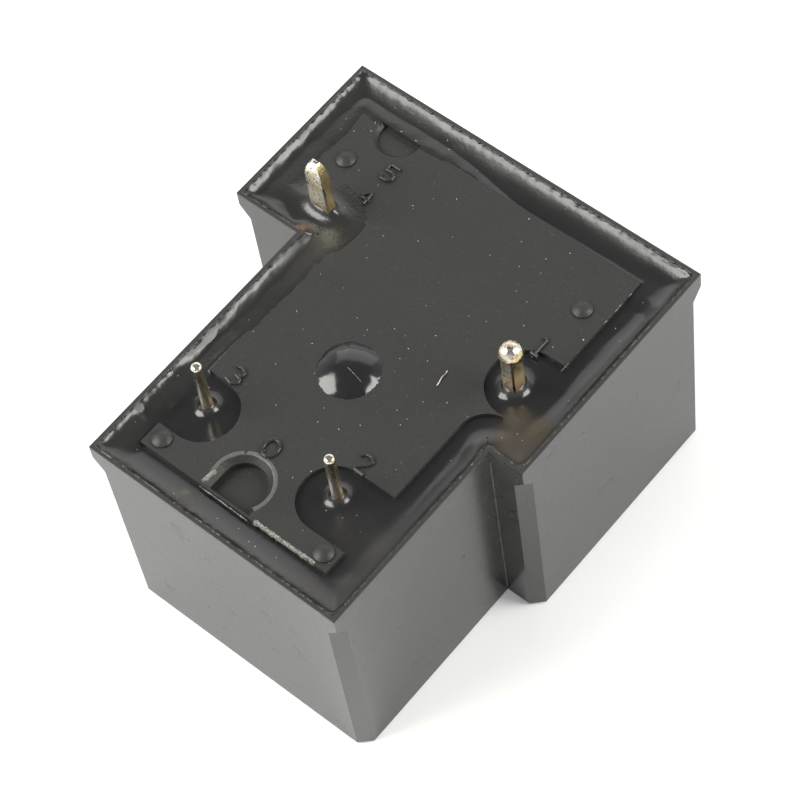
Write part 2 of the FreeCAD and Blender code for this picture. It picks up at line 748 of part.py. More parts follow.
def make_spring_rivet():
    """Stud that holds the return spring on the back of the yoke."""
    z = spring_rivet_z()
    back = yoke_back_y - spring_thickness
    shank = Part.makeCylinder(spring_rivet_radius, yoke_thickness + spring_thickness,
                              V(magnet_x, back, z), V(0, 1, 0))
    head = Part.makeCylinder(1.6 * spring_rivet_radius, spring_rivet_head,
                             V(magnet_x, back - spring_rivet_head, z), V(0, 1, 0))
    return fused([shank, head])


def stop_span():
    """Sides of the back stop, seen from above."""
    x0 = magnet_x + blade_width / 2 - blade_corner - stop_width
    y1 = half_length - cover_wall - seat_ledge - stop_wall_gap
    return x0, x0 + 1.5 * stop_width, blade_far - stop_reach, y1


def make_back_stop():
    """Bent strip from the base that the open blade rests on."""
    tip = V(0, blade_far - blade_corner, blade_low_z) - V(0, yoke_back_y, pivot_z)
    tilt = math.radians(open_angle)
    rest_z = pivot_z + tip.z * math.cos(tilt) - (tip.y + blade_corner) * math.sin(tilt)
    top_z = rest_z - stop_touch
    x0, upright_x1, y0, y1 = stop_span()
    hook = box(x0, upright_x1, y0, y1, top_z - stop_thickness, top_z)
    upright = box(x0, upright_x1, y1 - stop_thickness, y1, top_z - stop_thickness, seat_z + stop_root)
    return fused([hook, upright])


def make_braid(blade, terminal):
    """Copper braid from the blade to the common terminal, as one round tube."""
    x0, x1, y0, y1 = common_strip_span()
    weld = opened(Part.Vertex(V(braid_weld_x, braid_weld_y, armature_low_z - blade_thickness / 2))).Point
    start = V(weld.x, weld.y, weld.z)
    low_bend = V(weld.x, weld.y, weld.z + braid_rise)
    end_z = seat_z - common_strip_length + braid_end_rise
    high_bend = V(x0 - braid_end_run, y1 - braid_end_inset, end_z)
    end = V(x0 + braid_end_sink, y1 - braid_end_inset, end_z)
    points = [start, low_bend, high_bend, end]
    path = smooth_path(points, braid_bend)
    way = V(0, 0, 1)
    ring_edge = Part.makeCircle(braid_radius, start, way)
    tube = path.makePipeShell([Part.Wire([ring_edge])], True, False)
    return tube.cut(blade).cut(terminal)


def smooth_path(points, radius):
    """Straight runs through the points, joined by tangent arcs."""
    edges = []
    here = points[0]
    for before, corner, after in zip(points, points[1:], points[2:]):
        into = (corner - before).normalize()
        out = (after - corner).normalize()
        turn = math.acos(max(-1.0, min(1.0, into.dot(out))))
        cut_back = radius * math.tan(turn / 2)
        arc_start = corner - into * cut_back
        arc_end = corner + out * cut_back
        towards = (out - into).normalize()
        centre = corner + towards * (radius / math.cos(turn / 2))
        middle = centre - towards * radius
        edges.append(Part.LineSegment(here, arc_start).toShape())
        edges.append(Part.Arc(arc_start, middle, arc_end).toShape())
        here = arc_end
    edges.append(Part.LineSegment(here, points[-1]).toShape())
    return Part.Wire(edges)


def build():
    """Every piece of the relay, by name."""
    nodes = {}
    nodes["cover"] = make_cover()
    nodes["base"] = make_base()
    nodes["coil_pin_left"] = make_coil_pin(coil_pin_left_x)
    nodes["coil_pin_right"] = make_coil_pin(coil_pin_right_x)
    nodes["common_terminal"] = make_common_terminal()
    nodes["fixed_terminal"] = make_fixed_terminal()
    coil_pins = [nodes["coil_pin_left"], nodes["coil_pin_right"]]
    all_pins = coil_pins + [nodes["common_terminal"], nodes["fixed_terminal"]]
    nodes["potting_resin"] = make_potting(nodes["base"], nodes["cover"], all_pins)
    nodes["core_plug"] = make_core_plug()
    nodes["iron_core"] = make_core()
    nodes["yoke"] = make_yoke()
    nodes["bobbin"] = make_bobbin(coil_pins)
    tube = core_radius + bobbin_bore_gap + bobbin_tube_wall
    nodes["coil_winding"] = ring(tube, winding_radius)
    nodes["winding_tape"] = ring(winding_radius, winding_radius + tape_thickness)
    nodes["coil_lead_left"] = make_lead(coil_pin_left_x, nodes["coil_pin_left"])
    nodes["coil_lead_right"] = make_lead(coil_pin_right_x, nodes["coil_pin_right"])
    nodes["fixed_contact"] = make_fixed_contact()
    nodes["armature"] = make_armature()
    nodes["contact_blade"] = opened(closed_blade())
    nodes["blade_rivets"] = make_blade_rivets()
    nodes["moving_contact"] = make_moving_contact()
    nodes["return_spring"] = make_return_spring()
    nodes["spring_rivet"] = make_spring_rivet()
    nodes["back_stop"] = make_back_stop()
    nodes["contact_braid"] = make_braid(nodes["contact_blade"], nodes["common_terminal"])
    return nodes


os.makedirs("parts", exist_ok=True)
for name, shape in build().items():
    shape.exportStep("parts/" + name + ".step")
    print(name, len(shape.Solids), "solid", round(shape.Volume, 3), "mm3", shape.isValid())
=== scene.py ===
# %% [markdown]
# # A sealed board relay, lying on its cover with its pins up
#
# The solids of the relay come from a CAD model and are already in place. This script
# dresses them: it pours the resin, raises the small numbers, roughens the moulded edges,
# and gives every piece a finish made of shader nodes.
#
# Every object is in metres, in the frame of the CAD model. +Z points to the tips of the
# pins, and Z = 0 is the face that the relay lies on.

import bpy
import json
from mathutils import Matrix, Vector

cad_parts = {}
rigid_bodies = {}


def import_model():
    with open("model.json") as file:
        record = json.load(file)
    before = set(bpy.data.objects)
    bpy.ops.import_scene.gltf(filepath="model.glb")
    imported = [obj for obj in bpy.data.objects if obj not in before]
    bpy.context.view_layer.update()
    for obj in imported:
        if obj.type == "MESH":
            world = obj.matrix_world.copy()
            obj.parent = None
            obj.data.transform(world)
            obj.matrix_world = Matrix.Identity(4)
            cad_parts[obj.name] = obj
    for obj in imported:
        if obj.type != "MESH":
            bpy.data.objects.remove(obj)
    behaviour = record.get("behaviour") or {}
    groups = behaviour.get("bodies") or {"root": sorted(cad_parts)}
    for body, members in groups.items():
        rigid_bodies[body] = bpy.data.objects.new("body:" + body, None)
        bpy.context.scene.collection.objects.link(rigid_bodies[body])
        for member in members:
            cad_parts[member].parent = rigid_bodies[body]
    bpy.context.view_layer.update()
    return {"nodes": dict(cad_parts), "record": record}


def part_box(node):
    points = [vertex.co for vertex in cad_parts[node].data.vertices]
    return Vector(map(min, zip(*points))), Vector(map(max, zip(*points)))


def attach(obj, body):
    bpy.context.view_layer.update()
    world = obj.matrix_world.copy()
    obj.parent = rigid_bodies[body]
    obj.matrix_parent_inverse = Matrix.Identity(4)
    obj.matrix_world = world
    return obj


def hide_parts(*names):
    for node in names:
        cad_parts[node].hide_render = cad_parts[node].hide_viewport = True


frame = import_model()

import json
import math

import bmesh
import bpy
import numpy as np
from mathutils import Quaternion, Vector, kdtree, noise
from mathutils.bvhtree import BVHTree

MM = 0.001
scene = bpy.context.scene

# %% [markdown]
# A new Blender file can hold a cube, a lamp and a camera. They aren't part of the relay,
# so they go first, and only what the frame brought stays.

# %% Clear what a new file holds
for left_over in [o for o in bpy.data.objects if o.name in ("Cube", "Light", "Camera")]:
    bpy.data.objects.remove(left_over)

# %% [markdown]
# ## Sizes that the looks share with the CAD model
#
# The cover is a T seen from above, 27.6 mm wide and 32.1 mm long. The script needs its
# outline for the resin and for the rim, so the few numbers stand here once, in
# millimetres. Heights come from the loaded nodes themselves where that is possible.

# %% Outline and heights in millimetres
HALF_WIDTH = 13.8
HALF_LENGTH = 16.05
STEM_LEFT = -8.65
STEM_RIGHT = 11.2
NOTCH_LEFT = 3.5
NOTCH_RIGHT = -1.65
RIM_Z = 18.4
PLATEAU_Z = 17.9
FLANGE_Z = 16.9
RESIN_Z = 17.55


def outline(inset):
    """Corners of the T outline, moved inwards, in millimetres."""
    return [(-HALF_WIDTH + inset, HALF_LENGTH - inset), (HALF_WIDTH - inset, HALF_LENGTH - inset),
            (HALF_WIDTH - inset, NOTCH_RIGHT + inset), (STEM_RIGHT - inset, NOTCH_RIGHT + inset),
            (STEM_RIGHT - inset, -HALF_LENGTH + inset), (STEM_LEFT + inset, -HALF_LENGTH + inset),
            (STEM_LEFT + inset, NOTCH_LEFT + inset), (-HALF_WIDTH + inset, NOTCH_LEFT + inset)]


low_cover, high_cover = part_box("cover")
print("cover is", round((high_cover.x - low_cover.x) / MM, 2), "mm wide, rim at", round(high_cover.z / MM, 2))

# %% [markdown]
# ## Camera
#
# The photograph looks down on the pins from about 59 degrees, with the coil end of the
# relay turned to the lower left. A long lens from nearly 19 cm away gives its weak
# perspective. The eye, the point it looks at and the roll about the line of sight say
# where the camera is. Nothing else in the script depends on it.

# %% Make the camera
EYE = Vector((74.172, -62.633, 170.442)) * MM
TARGET = Vector((0.423, 1.572, 9.2)) * MM
ROLL_DEGREES = -10.605
LENS_MM = 131.07

camera_data = bpy.data.cameras.new("photo_camera")
camera_data.lens = LENS_MM
camera_data.sensor_width = 36.0
camera_data.clip_start = 0.01
camera = bpy.data.objects.new("photo_camera", camera_data)
scene.collection.objects.link(camera)
aim = (TARGET - EYE).to_track_quat("-Z", "Y")
camera.rotation_mode = "QUATERNION"
camera.rotation_quaternion = aim @ Quaternion((0, 0, 1), math.radians(ROLL_DEGREES))
camera.location = EYE
scene.camera = camera
scene.view_settings.view_transform = "Standard"
print("camera", round((TARGET - EYE).length / MM, 1), "mm from its target")

# %% [markdown]
# ## Light
#
# Two soft boxes light the relay, seen from the camera: a large one at the left, and a
# smaller one at the right. The black resin is a mirror, so each shows as a bright band
# wherever the resin curves up to a wall. A wide and weak panel on the far side gives the
# near moats their grey, and the upper half of the domed drop too. Between them it is
# darker, which keeps the flat resin black. The world is white near the horizon and dims
# towards the zenith.

# %% Soft boxes
def soft_box(name, direction, distance, width, height, watts, tint=(1.0, 1.0, 1.0)):
    """A rectangular lamp that faces the relay."""
    lamp = bpy.data.lights.new(name, "AREA")
    lamp.color = tint
    lamp.shape = "RECTANGLE"
    lamp.size = width
    lamp.size_y = height
    lamp.energy = watts
    holder = bpy.data.objects.new(name, lamp)
    holder.location = Vector(direction).normalized() * distance
    holder.rotation_mode = "QUATERNION"
    holder.rotation_quaternion = (-holder.location).to_track_quat("-Z", "Y")
    scene.collection.objects.link(holder)


soft_box("left_soft_box", (-0.50, -0.52, 0.69), 0.34, 0.24, 0.21, 1.38, (1.0, 0.995, 0.95))
soft_box("back_soft_box", (0.64, 0.43, 0.62), 0.34, 0.19, 0.17, 1.0, (1.0, 0.995, 0.95))
soft_box("far_panel", (-0.42, 0.70, 0.56), 0.40, 0.46, 0.24, 0.38)

# %% World that is white at the horizon
world = bpy.data.worlds.new("studio_world")
scene.world = world
world.use_nodes = True
sky = world.node_tree
sky.nodes.clear()
sky_coords = sky.nodes.new("ShaderNodeTexCoord")
sky_axes = sky.nodes.new("ShaderNodeSeparateXYZ")
sky_ramp = sky.nodes.new("ShaderNodeValToRGB")
sky_light = sky.nodes.new("ShaderNodeBackground")
sky_output = sky.nodes.new("ShaderNodeOutputWorld")
sky_ramp.color_ramp.elements[0].position = 0.10
sky_ramp.color_ramp.elements[0].color = (1.0, 1.0, 1.0, 1.0)
sky_ramp.color_ramp.elements[1].position = 0.75
sky_ramp.color_ramp.elements[1].color = (0.22, 0.22, 0.225, 1.0)
sky.links.new(sky_coords.outputs["Generated"], sky_axes.inputs["Vector"])
sky.links.new(sky_axes.outputs["Z"], sky_ramp.inputs["Fac"])
sky.links.new(sky_ramp.outputs["Color"], sky_light.inputs["Color"])
sky.links.new(sky_light.outputs["Background"], sky_output.inputs["Surface"])
print("world nodes:", len(sky.nodes))

# %% [markdown]
# ## Helpers for finishes
#
# A finish is a material with a Principled shader. The first helpers start one, start a
# shared node group, and place that group in a material with the material's own values.
# They keep the material cells short.

# %% Start a material and place a group
def start_material(name):
    """A node material and its Principled shader, with object coordinates ready."""
    material = bpy.data.materials.new(name)
    material.use_nodes = True
    tree = material.node_tree
    shader = next(n for n in tree.nodes if n.type == "BSDF_PRINCIPLED")
    coords = tree.nodes.new("ShaderNodeTexCoord")
    return material, tree, shader, coords.outputs["Object"]


def place_group(tree, group, vector, **values):
    """One use of a shared node group, with its own values."""
    node = tree.nodes.new("ShaderNodeGroup")
    node.node_tree = group
    tree.links.new(vector, node.inputs["Vector"])
    for key, value in values.items():
        node.inputs[key].default_value = value
    return node


def new_group(name, inputs, outputs):
    """An empty shader group with the named sockets, and its two ends."""
    group = bpy.data.node_groups.new(name, "ShaderNodeTree")
    group.interface.new_socket("Vector", in_out="INPUT", socket_type="NodeSocketVector")
    for key, value in inputs.items():
        socket = group.interface.new_socket(key, in_out="INPUT", socket_type="NodeSocketFloat")
        socket.default_value = value
    for key in outputs:
        group.interface.new_socket(key, in_out="OUTPUT", socket_type="NodeSocketFloat")
    return group, group.nodes.new("NodeGroupInput"), group.nodes.new("NodeGroupOutput")


print("node groups so far:", len(bpy.data.node_groups))

# %% [markdown]
# A finish is worked out like a sum on paper. Masks between 0 and 1 say where something
# lies, a range is stretched to another, and colours are mixed by a mask. The helpers take
# sockets or plain values and give back the socket with the result, so the material cells
# read from the first line to the last.

# %% Sums, ranges and mixes
def math_node(tree, operation, first, second):
    """A Math node whose inputs are sockets or plain numbers."""
    node = tree.nodes.new("ShaderNodeMath")
    node.operation = operation
    for socket, value in zip(node.inputs, (first, second)):
        if isinstance(value, (int, float)):
            socket.default_value = value
        else:
            tree.links.new(value, socket)
    return node.outputs["Value"]


def remap(tree, value, low, high, to_low=0.0, to_high=1.0):
    """A Map Range node with plain limits."""
    node = tree.nodes.new("ShaderNodeMapRange")
    node.inputs["From Min"].default_value = low
    node.inputs["From Max"].default_value = high
    node.inputs["To Min"].default_value = to_low
    node.inputs["To Max"].default_value = to_high
    tree.links.new(value, node.inputs["Value"])
    return node.outputs["Result"]


def mix_colours(tree, factor, first, second):
    """A colour that goes from first to second with factor."""
    node = tree.nodes.new("ShaderNodeMix")
    node.data_type = "RGBA"
    tree.links.new(factor, node.inputs[0])
    for socket, value in ((node.inputs[6], first), (node.inputs[7], second)):
        if isinstance(value, tuple):
            socket.default_value = (*value, 1.0)
        else:
            tree.links.new(value, socket)
    return node.outputs[2]


def add_share(tree, value, mask, share):
    """A value plus a share of a mask."""
    return math_node(tree, "ADD", value, math_node(tree, "MULTIPLY", mask, share))


def split_axes(tree, vector):
    """The X, Y and Z of a vector, as sockets."""
    node = tree.nodes.new("ShaderNodeSeparateXYZ")
    tree.links.new(vector, node.inputs["Vector"])
    return node.outputs


print("sums, ranges and mixes are ready")

# %% [markdown]
# Nothing on a real surface is even. A noise gives the unevenness, and a bump turns a
# height into tilted light without any more mesh.

# %% Noise and bump
def noise_value(tree, vector, scale, **settings):
    """A Noise texture as one value; its scale is a socket or a plain number."""
    node = tree.nodes.new("ShaderNodeTexNoise")
    tree.links.new(vector, node.inputs["Vector"])
    if isinstance(scale, float):
        node.inputs["Scale"].default_value = scale
    else:
        tree.links.new(scale, node.inputs["Scale"])
    for key, value in settings.items():
        node.inputs[key].default_value = value
    return node.outputs["Fac"]


def bump(tree, shader, height, distance, strength):
    """Bump from a height, into the shader's normal."""
    node = tree.nodes.new("ShaderNodeBump")
    node.inputs["Distance"].default_value = distance
    node.inputs["Strength"].default_value = strength
    tree.links.new(height, node.inputs["Height"])
    tree.links.new(node.outputs["Normal"], shader.inputs["Normal"])


print("noise and bump are ready")

# %% [markdown]
# ## Shared surface effects
#
# The moulds of such housings are spark-eroded, which leaves a fine even grain. The same
# grain lies on the cover, the base and the bobbin, so it is one node group with its size
# as an input. It gives a height for the bump and a mask of bright specks.

# %% Moulded grain
moulded_grain, grain_in, grain_out = new_group("moulded_grain", {"Scale": 5000.0}, ("Height", "Speck"))
grain_where, grain_size = grain_in.outputs["Vector"], grain_in.outputs["Scale"]
grain_noise = noise_value(moulded_grain, grain_where, grain_size, Detail=3.0, Roughness=0.6)
grain_cells = moulded_grain.nodes.new("ShaderNodeTexVoronoi")
moulded_grain.links.new(grain_where, grain_cells.inputs["Vector"])
moulded_grain.links.new(grain_size, grain_cells.inputs["Scale"])
grain_height = math_node(moulded_grain, "MULTIPLY_ADD", grain_cells.outputs["Distance"], -0.35)
moulded_grain.links.new(grain_noise, grain_height.node.inputs[2])
moulded_grain.links.new(grain_height, grain_out.inputs["Height"])
speck = remap(moulded_grain, grain_noise, 0.66, 0.76)
moulded_grain.links.new(speck, grain_out.inputs["Speck"])
print("moulded_grain:", len(moulded_grain.nodes), "nodes")

# %% [markdown]
# Dust settles on what faces up. The group reads the surface's own normal, keeps what
# points up, and breaks it with two noises, a broad one for the patches and a fine one
# for the single grains.

# %% Settled dust
settled_dust, dust_in, dust_out = new_group("settled_dust", {"Patch": 260.0, "Grain": 6000.0}, ("Mask",))
dust_geometry = settled_dust.nodes.new("ShaderNodeNewGeometry")
dust_axes = split_axes(settled_dust, dust_geometry.outputs["Normal"])
dust_mask = remap(settled_dust, dust_axes["Z"], 0.6, 1.0)
for socket, lowest in (("Patch", 0.42), ("Grain", 0.50)):
    layer = noise_value(settled_dust, dust_in.outputs["Vector"], dust_in.outputs[socket], Detail=2.0)
    layer = remap(settled_dust, layer, lowest, 0.72)
    dust_mask = math_node(settled_dust, "MULTIPLY", dust_mask, layer)
settled_dust.links.new(dust_mask, dust_out.inputs["Mask"])
print("settled_dust:", len(settled_dust.nodes), "nodes")

# %% [markdown]
# Hands and trays leave marks: broad, faint patches where the plastic is a little duller.
# Only the strongest part of a slow noise is kept, so most of the surface stays clean.

# %% Handling marks
handling_marks, marks_in, marks_out = new_group("handling_marks", {"Scale": 420.0}, ("Smudge",))
marks_noise = noise_value(handling_marks, marks_in.outputs["Vector"], marks_in.outputs["Scale"],
                          Detail=5.0, Roughness=0.65, Distortion=0.5)
smudge = remap(handling_marks, marks_noise, 0.60, 0.74)
handling_marks.links.new(smudge, marks_out.inputs["Smudge"])
print("handling_marks:", len(handling_marks.nodes), "nodes")

# %% [markdown]
# Tin and solder don't lie evenly on a pin: they pool, thin out and go dull in patches.
# This group gives two patchy masks and a height, which the metals use for their colour,
# roughness and bump. Stretch draws the pattern out along the pin.

# %% Uneven plating
uneven_plating, plating_in, plating_out = new_group(
    "uneven_plating", {"Scale": 900.0, "Stretch": 1.0}, ("Patch", "Pit", "Height"))
plating_map = uneven_plating.nodes.new("ShaderNodeCombineXYZ")
plating_map.inputs["X"].default_value = 1.0
plating_map.inputs["Y"].default_value = 1.0
uneven_plating.links.new(plating_in.outputs["Stretch"], plating_map.inputs["Z"])
plating_scaled = uneven_plating.nodes.new("ShaderNodeVectorMath")
plating_scaled.operation = "MULTIPLY"
uneven_plating.links.new(plating_in.outputs["Vector"], plating_scaled.inputs[0])
uneven_plating.links.new(plating_map.outputs["Vector"], plating_scaled.inputs[1])
plating_noise = noise_value(uneven_plating, plating_scaled.outputs["Vector"], plating_in.outputs["Scale"],
                            Detail=4.0, Distortion=0.6)
uneven_plating.links.new(remap(uneven_plating, plating_noise, 0.40, 0.62), plating_out.inputs["Patch"])
uneven_plating.links.new(remap(uneven_plating, plating_noise, 0.55, 0.63), plating_out.inputs["Pit"])
uneven_plating.links.new(plating_noise, plating_out.inputs["Height"])
print("uneven_plating:", len(uneven_plating.nodes), "nodes")

# %% [markdown]
# ## Moulded plastics
#
# The cover and the base are black plastic. It isn't really black: in the photograph its
# top is a dark grey, and its upright walls are much lighter, because at a grazing angle
# they mirror the white table. So the cover is smooth and the base is rough and grainy.
# The raised numbers are polished in the mould, so their edges shine. The lip round the large pocket is
# painted pale, as a painted highlight of its rounded edge. The rim of the cover got a smear of resin, so its
# finish goes darker above a height.

# %% Moulded plastic
MARK_COLOUR = (0.012, 0.012, 0.012)
DUST_COLOUR = (0.42, 0.41, 0.38)
SMEAR_COLOUR = (0.020, 0.020, 0.019)


def moulded_plastic(name, colour, speck_colour, roughness, grain_scale, grain_depth, dust,
                    ior=1.5, smear_mm=None):
    """Moulded plastic with grain, bright specks, dust on top and faint marks."""
    material, tree, shader, where = start_material(name)
    grain = place_group(tree, moulded_grain, where, Scale=grain_scale)
    dusted = place_group(tree, settled_dust, where)
    marks = place_group(tree, handling_marks, where)
    specks = math_node(tree, "MULTIPLY", grain.outputs["Speck"], 0.5)
    surface = mix_colours(tree, specks, colour, speck_colour)
    smudges = math_node(tree, "MULTIPLY", marks.outputs["Smudge"], 0.3)
    surface = mix_colours(tree, smudges, surface, MARK_COLOUR)
    amount = math_node(tree, "MULTIPLY", dusted.outputs["Mask"], dust)
    surface = mix_colours(tree, amount, surface, DUST_COLOUR)
    rough = remap(tree, grain.outputs["Height"], 0.1, 0.7, roughness - 0.04, roughness + 0.05)
    rough = add_share(tree, rough, marks.outputs["Smudge"], 0.10)
    if smear_mm:
        height = split_axes(tree, where)["Z"]
        smear = remap(tree, height, (smear_mm - 0.25) * MM, (smear_mm + 0.10) * MM)
        surface = mix_colours(tree, smear, surface, SMEAR_COLOUR)
        rough = add_share(tree, rough, smear, 0.22)
    tree.links.new(surface, shader.inputs["Base Color"])
    tree.links.new(rough, shader.inputs["Roughness"])
    shader.inputs["IOR"].default_value = ior
    bump(tree, shader, grain.outputs["Height"], grain_depth, 0.6)
    return material


case_plastic = moulded_plastic(
    "case_plastic", (0.026, 0.0255, 0.025), (0.06, 0.06, 0.058), roughness=0.24,
    grain_scale=3800.0, grain_depth=0.003 * MM, dust=0.03, ior=1.62, smear_mm=RIM_Z - 0.05)
base_plastic = moulded_plastic(
    "base_plastic", (0.019, 0.019, 0.0178), (0.13, 0.13, 0.12), roughness=0.50,
    grain_scale=5600.0, grain_depth=0.030 * MM, dust=0.02)
# Pale finish for the large pocket's lip: a painted highlight of its rounded edge.
painted_lip_highlight = moulded_plastic(
    "painted_lip_highlight", (0.09, 0.09, 0.082), (0.24, 0.24, 0.22), roughness=0.42,
    grain_scale=8000.0, grain_depth=0.040 * MM, dust=0.0)
number_plastic = moulded_plastic(
    "number_plastic", (0.024, 0.024, 0.022), (0.10, 0.10, 0.09), roughness=0.22,
    grain_scale=5600.0, grain_depth=0.008 * MM, dust=0.0)
bobbin_plastic = moulded_plastic(
    "bobbin_plastic", (0.66, 0.62, 0.52), (0.75, 0.72, 0.64), roughness=0.40,
    grain_scale=3000.0, grain_depth=0.010 * MM, dust=0.05)
plastics = (case_plastic, base_plastic, painted_lip_highlight, number_plastic, bobbin_plastic)
print("plastics:", *(plastic.name for plastic in plastics))

# %% [markdown]
# ## Resin
#
# The sealing resin is nearly black and as glossy as glass, with faint ripples from how it crept and cured.
# Near the inner corner by the common pin it is a little amber and duller: a painted reflection of the pin's
# brass. The opposite notch has a broad dark stain and a small amber one, and the moat at the near right is
# only duller. Each of these spots is a soft ball in object coordinates that changes the colour and the
# roughness. Where the resin climbs a wall it is thin, so it gets a wrinkled bump and loses some gloss.

# %% Cast resin
def soft_spot(tree, where, centre_mm, radius_mm):
    """Soft spot round a point, 1 at its centre and 0 at its radius."""
    mapping = tree.nodes.new("ShaderNodeMapping")
    mapping.vector_type = "POINT"
    mapping.inputs["Scale"].default_value = [1.0 / (radius_mm * MM)] * 3
    mapping.inputs["Location"].default_value = [-c / radius_mm for c in centre_mm]
    tree.links.new(where, mapping.inputs["Vector"])
    ball = tree.nodes.new("ShaderNodeTexGradient")
    ball.gradient_type = "SPHERICAL"
    tree.links.new(mapping.outputs["Vector"], ball.inputs["Vector"])
    return ball.outputs["Fac"]


def cast_resin(name, colour, stains_and_reflection, climb_from_mm):
    """Glossy cured resin with ripples, stains and a painted reflection, duller in each spot and where it
    climbs.
    """
    material, tree, shader, where = start_material(name)
    ripple = noise_value(tree, where, 700.0, Detail=3.0)
    wrinkle = noise_value(tree, where, 5200.0, Detail=2.0)
    height = split_axes(tree, where)["Z"]
    climbed = remap(tree, height, climb_from_mm * MM, (climb_from_mm + 0.32) * MM)
    mixed = mix_colours(tree, climbed, colour, THIN_RESIN_COLOUR)
    rough = add_share(tree, remap(tree, ripple, 0.3, 0.7, 0.11, 0.19), climbed, 0.10)
    for centre, radius, tint, duller in stains_and_reflection:
        spot = soft_spot(tree, where, centre, radius)
        mixed = mix_colours(tree, spot, mixed, tint)
        rough = add_share(tree, rough, spot, duller)
    tree.links.new(mixed, shader.inputs["Base Color"])
    tree.links.new(rough, shader.inputs["Roughness"])
    relief = math_node(tree, "MULTIPLY", wrinkle, math_node(tree, "MULTIPLY", climbed, 0.7))
    shader.inputs["IOR"].default_value = 1.56
    bump(tree, shader, math_node(tree, "ADD", relief, ripple), 0.03 * MM, 0.5)
    return material


RESIN_COLOUR = (0.012, 0.012, 0.013)
THIN_RESIN_COLOUR = (0.018, 0.018, 0.0165)
# Centre and radius in mm, colour, and how much rougher the resin is there
STAINS_AND_REFLECTION = [
    # The first spot is a painted reflection of the common pin's brass; the others are stains.
    ((12.0, 0.2, 17.8), 2.8, (0.026, 0.017, 0.009), 0.40),
    ((-7.6, 2.8, 17.9), 2.6, (0.011, 0.009, 0.007), 0.3),
    ((10.6, -11.0, 18.0), 6.0, (0.012, 0.012, 0.011), 0.25),
    ((-8.75, 4.0, 18.1), 0.45, (0.26, 0.12, 0.035), 0.1),
]
resin_finish = cast_resin("resin", RESIN_COLOUR, STAINS_AND_REFLECTION, climb_from_mm=RESIN_Z + 0.08)
plug_finish = cast_resin("plug_resin", RESIN_COLOUR, [], climb_from_mm=RIM_Z + 1)
print("resins:", resin_finish.name, plug_finish.name)

# %% [markdown]
# ## Metals
#
# Every metal here is a base colour and a second colour in uneven patches, with a roughness that follows the
# patches. The contact terminals are punched from plated strip: the broad faces keep their tin, and the
# sheared edges show the brass inside. Every face that looks along X gets that brass tint, found by the
# surface's own normal. The round coil pins have no sheared edges, so on their sides the same tint is painted
# shade. Near its foot a pin is duller and takes a copper tint, because the solder bath didn't reach that far.

# %% Plated metal
def plated_metal(name, colour, patch_colour, smooth, dull, scale, stretch, depth, pits=None):
    """Metal whose plating is uneven; pits also crinkles it, as a quick solder dip does."""
    material, tree, shader, where = start_material(name)
    plating = place_group(tree, uneven_plating, where, Scale=scale, Stretch=stretch)
    tint = mix_colours(tree, plating.outputs["Patch"], colour, patch_colour)
    relief = plating.outputs["Height"]
    if pits:
        crinkle = place_group(tree, uneven_plating, where, Scale=5200.0, Stretch=0.8)
        tint = mix_colours(tree, crinkle.outputs["Pit"], tint, pits)
        relief = add_share(tree, relief, crinkle.outputs["Height"], 0.9)
    tree.links.new(tint, shader.inputs["Base Color"])
    tree.links.new(remap(tree, plating.outputs["Height"], 0.3, 0.7, smooth, dull), shader.inputs["Roughness"])
    shader.inputs["Metallic"].default_value = 1.0
    bump(tree, shader, relief, depth, 0.5)
    return material, tree, shader, tint


BRIGHT_FROM_Z = 21.8
DULL_BELOW_Z = 18.2


def sheared_edges_and_side_shade(made, side_colour, foot_colour, foot_low_mm, foot_high_mm):
    """Adds a brass tint to faces that look along X: the bare sheared edges of a terminal, and painted shade
    on the sides of a round pin. Also a copper tint and dull tin near the foot.
    """
    material, tree, shader, tint = made
    geometry = tree.nodes.new("ShaderNodeNewGeometry")
    across = split_axes(tree, geometry.outputs["Normal"])["X"]
    sideways = remap(tree, math_node(tree, "ABSOLUTE", across, 0.0), 0.55, 0.85)
    side_tinted = mix_colours(tree, sideways, tint, side_colour)
    coords = next(n for n in tree.nodes if n.type == "TEX_COORD")
    height = split_axes(tree, coords.outputs["Object"])["Z"]
    near_foot = remap(tree, height, foot_high_mm * MM, foot_low_mm * MM, 0.0, 0.8)
    tree.links.new(mix_colours(tree, near_foot, side_tinted, foot_colour), shader.inputs["Base Color"])
    dull = remap(tree, height, BRIGHT_FROM_Z * MM, DULL_BELOW_Z * MM, 0.0, 0.30)
    bright = shader.inputs["Roughness"].links[0].from_socket
    tree.links.new(math_node(tree, "ADD", bright, dull), shader.inputs["Roughness"])
    return material


pin_tin = plated_metal("tinned_pin", (0.86, 0.84, 0.76), (0.62, 0.54, 0.38), smooth=0.12, dull=0.30,
                       scale=1500.0, stretch=0.25, depth=0.04 * MM)
# On the round coil pins the brass tint on the sides is painted shade.
tinned_pin = sheared_edges_and_side_shade(pin_tin, (0.60, 0.50, 0.34), (0.62, 0.30, 0.12), 17.9, 18.5)
strip_tin = plated_metal("terminal_copper", (0.90, 0.88, 0.80), (0.74, 0.64, 0.42), smooth=0.12, dull=0.34,
                         scale=1900.0, stretch=0.45, depth=0.08 * MM, pits=(0.30, 0.23, 0.13))
terminal_copper = sheared_edges_and_side_shade(strip_tin, (0.56, 0.44, 0.24), (0.58, 0.34, 0.16), 17.8, 19.0)

